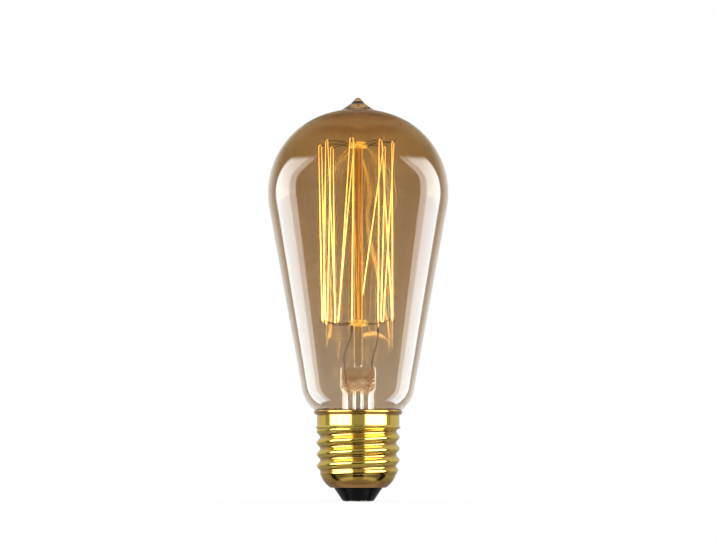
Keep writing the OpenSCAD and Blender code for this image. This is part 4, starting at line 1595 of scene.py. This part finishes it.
        def settle(place: Vector) -> Vector:
            """Flattens the blob against the rim and under its top, with a lumpy face.

            Args:
                place: a place on the blob.

            Returns:
                Its move.
            """
            wall = math.sqrt((self.rim_r + self.gap) ** 2 - place.x**2)
            lump = abs(self.blob_lump * self.blob_r * noise.noise(place * self.blob_grain))
            height = min(place.z, LEVELS.cap_top - self.gap)
            return Vector((place.x, max(place.y - lump, wall), height)) - place

        return moved(mesh, settle)

    def cement(self) -> Mesh:
        """Draws the ring of basing cement, with a crumbled upper edge and a groove for the side lead.

        Returns:
            The closed skin.
        """
        foot, top = LEVELS.seal - self.cement_drop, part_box("basing_cement")[1].z
        half = self.lead_groove / 2
        pen = Pen(self.cement_in_r, foot)
        pen.line(self.cement_out_r, foot, steps=2)
        pen.line(self.cement_out_r, top, steps=8)
        pen.line(self.cement_in_r, top, steps=3)
        pen.line(self.cement_in_r, foot, steps=8)

        def crumble(place: Vector) -> Vector:
            """Lowers the upper edge unevenly.

            Args:
                place: a place on the ring.

            Returns:
                Its move.
            """
            share = held(((place.z - foot) / (top - foot) - self.crumble_from) / (1 - self.crumble_from))
            grain = 0.5 + 0.5 * noise.noise(place * self.crumble_grain)
            return -self.crumble_depth * share * grain * UP

        mesh = moved(pen.turned(240), crumble)
        for offset in (-half, half):
            bmesh.ops.bisect_plane(mesh, geom=mesh.verts[:] + mesh.edges[:] + mesh.faces[:],
                                   plane_co=(offset, 0.0, 0.0), plane_no=(1.0, 0.0, 0.0))
        middles = {face: face.calc_center_median() for face in mesh.faces}
        notch = [face for face, middle in middles.items() if abs(middle.x) < half and middle.y > 0]
        bmesh.ops.delete(mesh, geom=notch, context="FACES")
        bmesh.ops.holes_fill(mesh, edges=[edge for edge in mesh.edges if edge.is_boundary], sides=0)
        bmesh.ops.recalc_face_normals(mesh, faces=mesh.faces)
        return mesh

    def build(self) -> None:
        """Makes the cap's pieces."""
        finish_piece("shell_rolled", self.shell(), BRASS, "screw_shell")
        finish_piece("insulator_cast", self.insulator(), VITRITE, "cap_insulator")
        finish_piece("contact_stamped", self.contact(), TINNED, "centre_contact")
        finish_piece("solder_contact", self.contact_blob(), SOLDER, "contact_solder")
        finish_piece("solder_rim", self.rim_blob(), SOLDER, "rim_solder")
        finish_piece("cement_ring", self.cement(), CEMENT, "basing_cement")


@dataclass(frozen=True)
class SoftBoxes:
    """Two tall soft boxes at the sides, as clear glass mirrors them, in degrees.

    A turn is the direction round the lamp, 0 at the camera and 180 behind, and a rise is the height
    over the horizon.
    """

    lean: float = 20.0
    lean_rise: Span = (12.0, 40.0)
    inner_edge: Span = (84.0, 88.0)
    bright_edge: Span = (95.0, 100.0)
    outer_edge: Span = (126.0, 132.0)
    top: Span = (51.0, 57.0)
    top_slope: float = 0.22
    bend_turn: float = 110.0
    bend: float = 0.045
    foot: Span = (-71.5, -68.0)
    foot_slope: float = 0.25
    dim_rise: Span = (0.0, 45.0)

    def light(self, turn: Value, rise: Value) -> Value:
        """Works out the boxes' light.

        Args:
            turn: the turn of a ray.
            rise: its rise.

        Returns:
            1 in a box at full strength and 0 outside.
        """
        lean = rise.step(*self.lean_rise) * self.lean
        bend = (turn - self.bend_turn).math("MAXIMUM", 0.0)
        top = 1 - (rise + turn * self.top_slope + bend * bend * self.bend).step(*self.top)
        foot = (rise - turn * self.foot_slope).step(*self.foot)
        across = (turn + lean).step(*self.inner_edge) * 0.5 + (turn + lean).step(*self.bright_edge) * 0.5
        across = across * (1 - turn.step(*self.outer_edge))
        return across * top * foot * (1 - rise.step(*self.dim_rise) * 0.5)


@dataclass(frozen=True)
class BrassSurround:
    """What the brass mirrors: a bright panel each side of the camera, and a dark band below them."""

    front: float = 0.36
    panel: float = 6.5
    panel_turn: Window = (21.0, 84.0, 4.0)
    core_rise: Window = (-18.0, 32.0, 3.0)
    around: float = 0.4
    around_rise: Window = (-60.0, 80.0, 8.0)
    under: float = 0.25
    under_rise: Window = (-45.0, -18.0, 3.0)
    side: float = 0.25
    side_turn: Span = (101.0, 106.0)
    dusk: float = 0.98
    dusk_side: float = 0.55
    dusk_rise: Window = (-50.0, -11.0, 3.0)
    dim_rise: Span = (45.0, 80.0)

    def light(self, turn: Value, rise: Value) -> Value:
        """Works out the light that the brass mirrors.

        Args:
            turn: the turn of a ray, in degrees as for the soft boxes.
            rise: its rise.

        Returns:
            The light.
        """
        panel = turn.window(*self.panel_turn)
        core = panel * rise.window(*self.core_rise) * self.panel
        under = rise.window(*self.under_rise) * self.under
        around = panel * rise.window(*self.around_rise) * (self.around - under)
        sides = turn.step(*self.side_turn)
        dusk = rise.window(*self.dusk_rise) * (self.dusk - sides * self.dusk_side)
        base = (self.front + sides * self.side) * (1 - dusk)
        return core + around + base * (1 - rise.step(*self.dim_rise) * 0.5)


@dataclass
class Studio:
    """White studio: floor, surrounding light with its soft boxes, and the camera."""

    floor_r: float = 4.0
    floor_colour: Colour = (0.86, 0.86, 0.86)
    floor_glow: float = 0.8
    floor_white: float = 1.04
    diffuse_light: float = 1.0
    camera_distance: float = 0.75
    camera_height: float = 6.94 * MM
    camera_x: float = -0.06 * MM
    camera_tilt: float = 5.04
    camera_lens: float = 119.33
    mirror_front: float = 0.07
    mirror_back: float = 0.95
    mirror_rise: Span = (8.0, 28.0)
    inside_front: float = 0.2
    behind_turn: Span = (118.0, 150.0)
    box_light: float = 6.2
    box_inside: float = 5.0
    box_colour: Colour = (0.78, 0.88, 0.96)
    boxes: SoftBoxes = SoftBoxes()
    brass: BrassSurround = BrassSurround()
    bounces: int = 24
    glossy_bounces: int = 8

    def floor(self) -> None:
        """Makes a pale floor that glows white to the eye and still takes a soft shadow."""
        mesh = bmesh.new()
        bmesh.ops.create_circle(mesh, cap_ends=True, segments=96, radius=self.floor_r)
        data = bpy.data.meshes.new("floor")
        mesh.to_mesh(data)
        mesh.free()
        material = bpy.data.materials.new("studio floor")
        shader = Shader(material)
        path = self.path(shader)
        seen = path("Is Camera Ray").math("MAXIMUM", path("Is Transmission Ray"))
        paint = shader.node("ShaderNodeBsdfDiffuse", {"Color": self.floor_colour})
        glow = shader.node("ShaderNodeEmission", {"Color": WHITE, "Strength": self.floor_white})
        shader.end(shader.mixed(seen * self.floor_glow, paint, glow))
        material.cycles.emission_sampling = "NONE"
        data.materials.append(material)
        plane = bpy.data.objects.new("floor", data)
        bpy.context.scene.collection.objects.link(plane)
        plane.visible_glossy = False

    @staticmethod
    def path(shader: Shader) -> Callable[[str], Value]:
        """Reader of a ray's kind, 1 or 0."""
        outputs = shader.node("ShaderNodeLightPath").outputs
        return lambda kind: Value(shader, outputs[kind])

    def world(self) -> None:
        """Lights from all round: white to the eye, soft boxes in mirrors, even on matt surfaces."""
        world = bpy.data.worlds.new("studio light")
        bpy.context.scene.world = world
        world.cycles.sampling_method = "NONE"
        shader = Shader(world)
        x, y, z = shader.split(shader.node("ShaderNodeTexCoord").outputs["Generated"])
        turn = x.math("ABSOLUTE").math("ARCTAN2", y * -1.0) * math.degrees(1)
        rise = z.math("ARCSINE") * math.degrees(1)
        camera, through, glossy, singular = map(self.path(shader), (
            "Is Camera Ray", "Is Transmission Ray", "Is Glossy Ray", "Is Singular Ray"))
        boxes = self.boxes.light(turn, rise)
        behind = turn.step(*self.behind_turn)
        mirror = behind * (1 - rise.step(*self.mirror_rise)) * (self.mirror_back - self.mirror_front)
        mirror = mirror + self.mirror_front + boxes * self.box_light
        inside = behind * (1 - self.inside_front) + self.inside_front + boxes * self.box_inside
        brass = self.brass.light(turn, rise)
        reflected = through * inside + (1 - through) * (singular * mirror + (1 - singular) * brass)
        light = glossy * reflected + (1 - glossy) * self.diffuse_light
        in_glass = boxes * through.math("MAXIMUM", singular) * (1 - camera)
        shader.end(shader.node("ShaderNodeBackground", {
            "Color": shader.mix(in_glass, WHITE, self.box_colour),
            "Strength": camera + (1 - camera) * light}), "ShaderNodeOutputWorld")

    def camera(self) -> None:
        """Sets the camera at the lamp's foot, tilted up as in the photograph."""
        data = bpy.data.cameras.new("camera")
        data.lens = self.camera_lens
        data.sensor_width = 36.0
        data.clip_start = 0.01
        camera = bpy.data.objects.new("camera", data)
        camera.location = (self.camera_x, -self.camera_distance, self.camera_height)
        camera.rotation_euler = (math.radians(90 + self.camera_tilt), 0.0, 0.0)
        bpy.context.scene.collection.objects.link(camera)
        bpy.context.scene.camera = camera

    def build(self) -> None:
        """Sets the studio up."""
        scene = bpy.context.scene
        scene.view_settings.view_transform = "Standard"
        scene.cycles.max_bounces = scene.cycles.transmission_bounces = self.bounces
        scene.cycles.glossy_bounces = self.glossy_bounces
        self.floor()
        self.world()
        self.camera()


def main() -> None:
    """Builds the lamp's sub-assemblies in order, then the studio."""
    logging.basicConfig(level=logging.INFO, format="%(name)s: %(message)s")
    cage = Cage()
    Envelope().build()
    Stem().build(cage.upper.bearings(), cage.lower.bearings())
    cage.build()
    Leads().build(cage)
    ScrewCap().build()
    Studio().build()


if __name__ == "__main__":
    main()
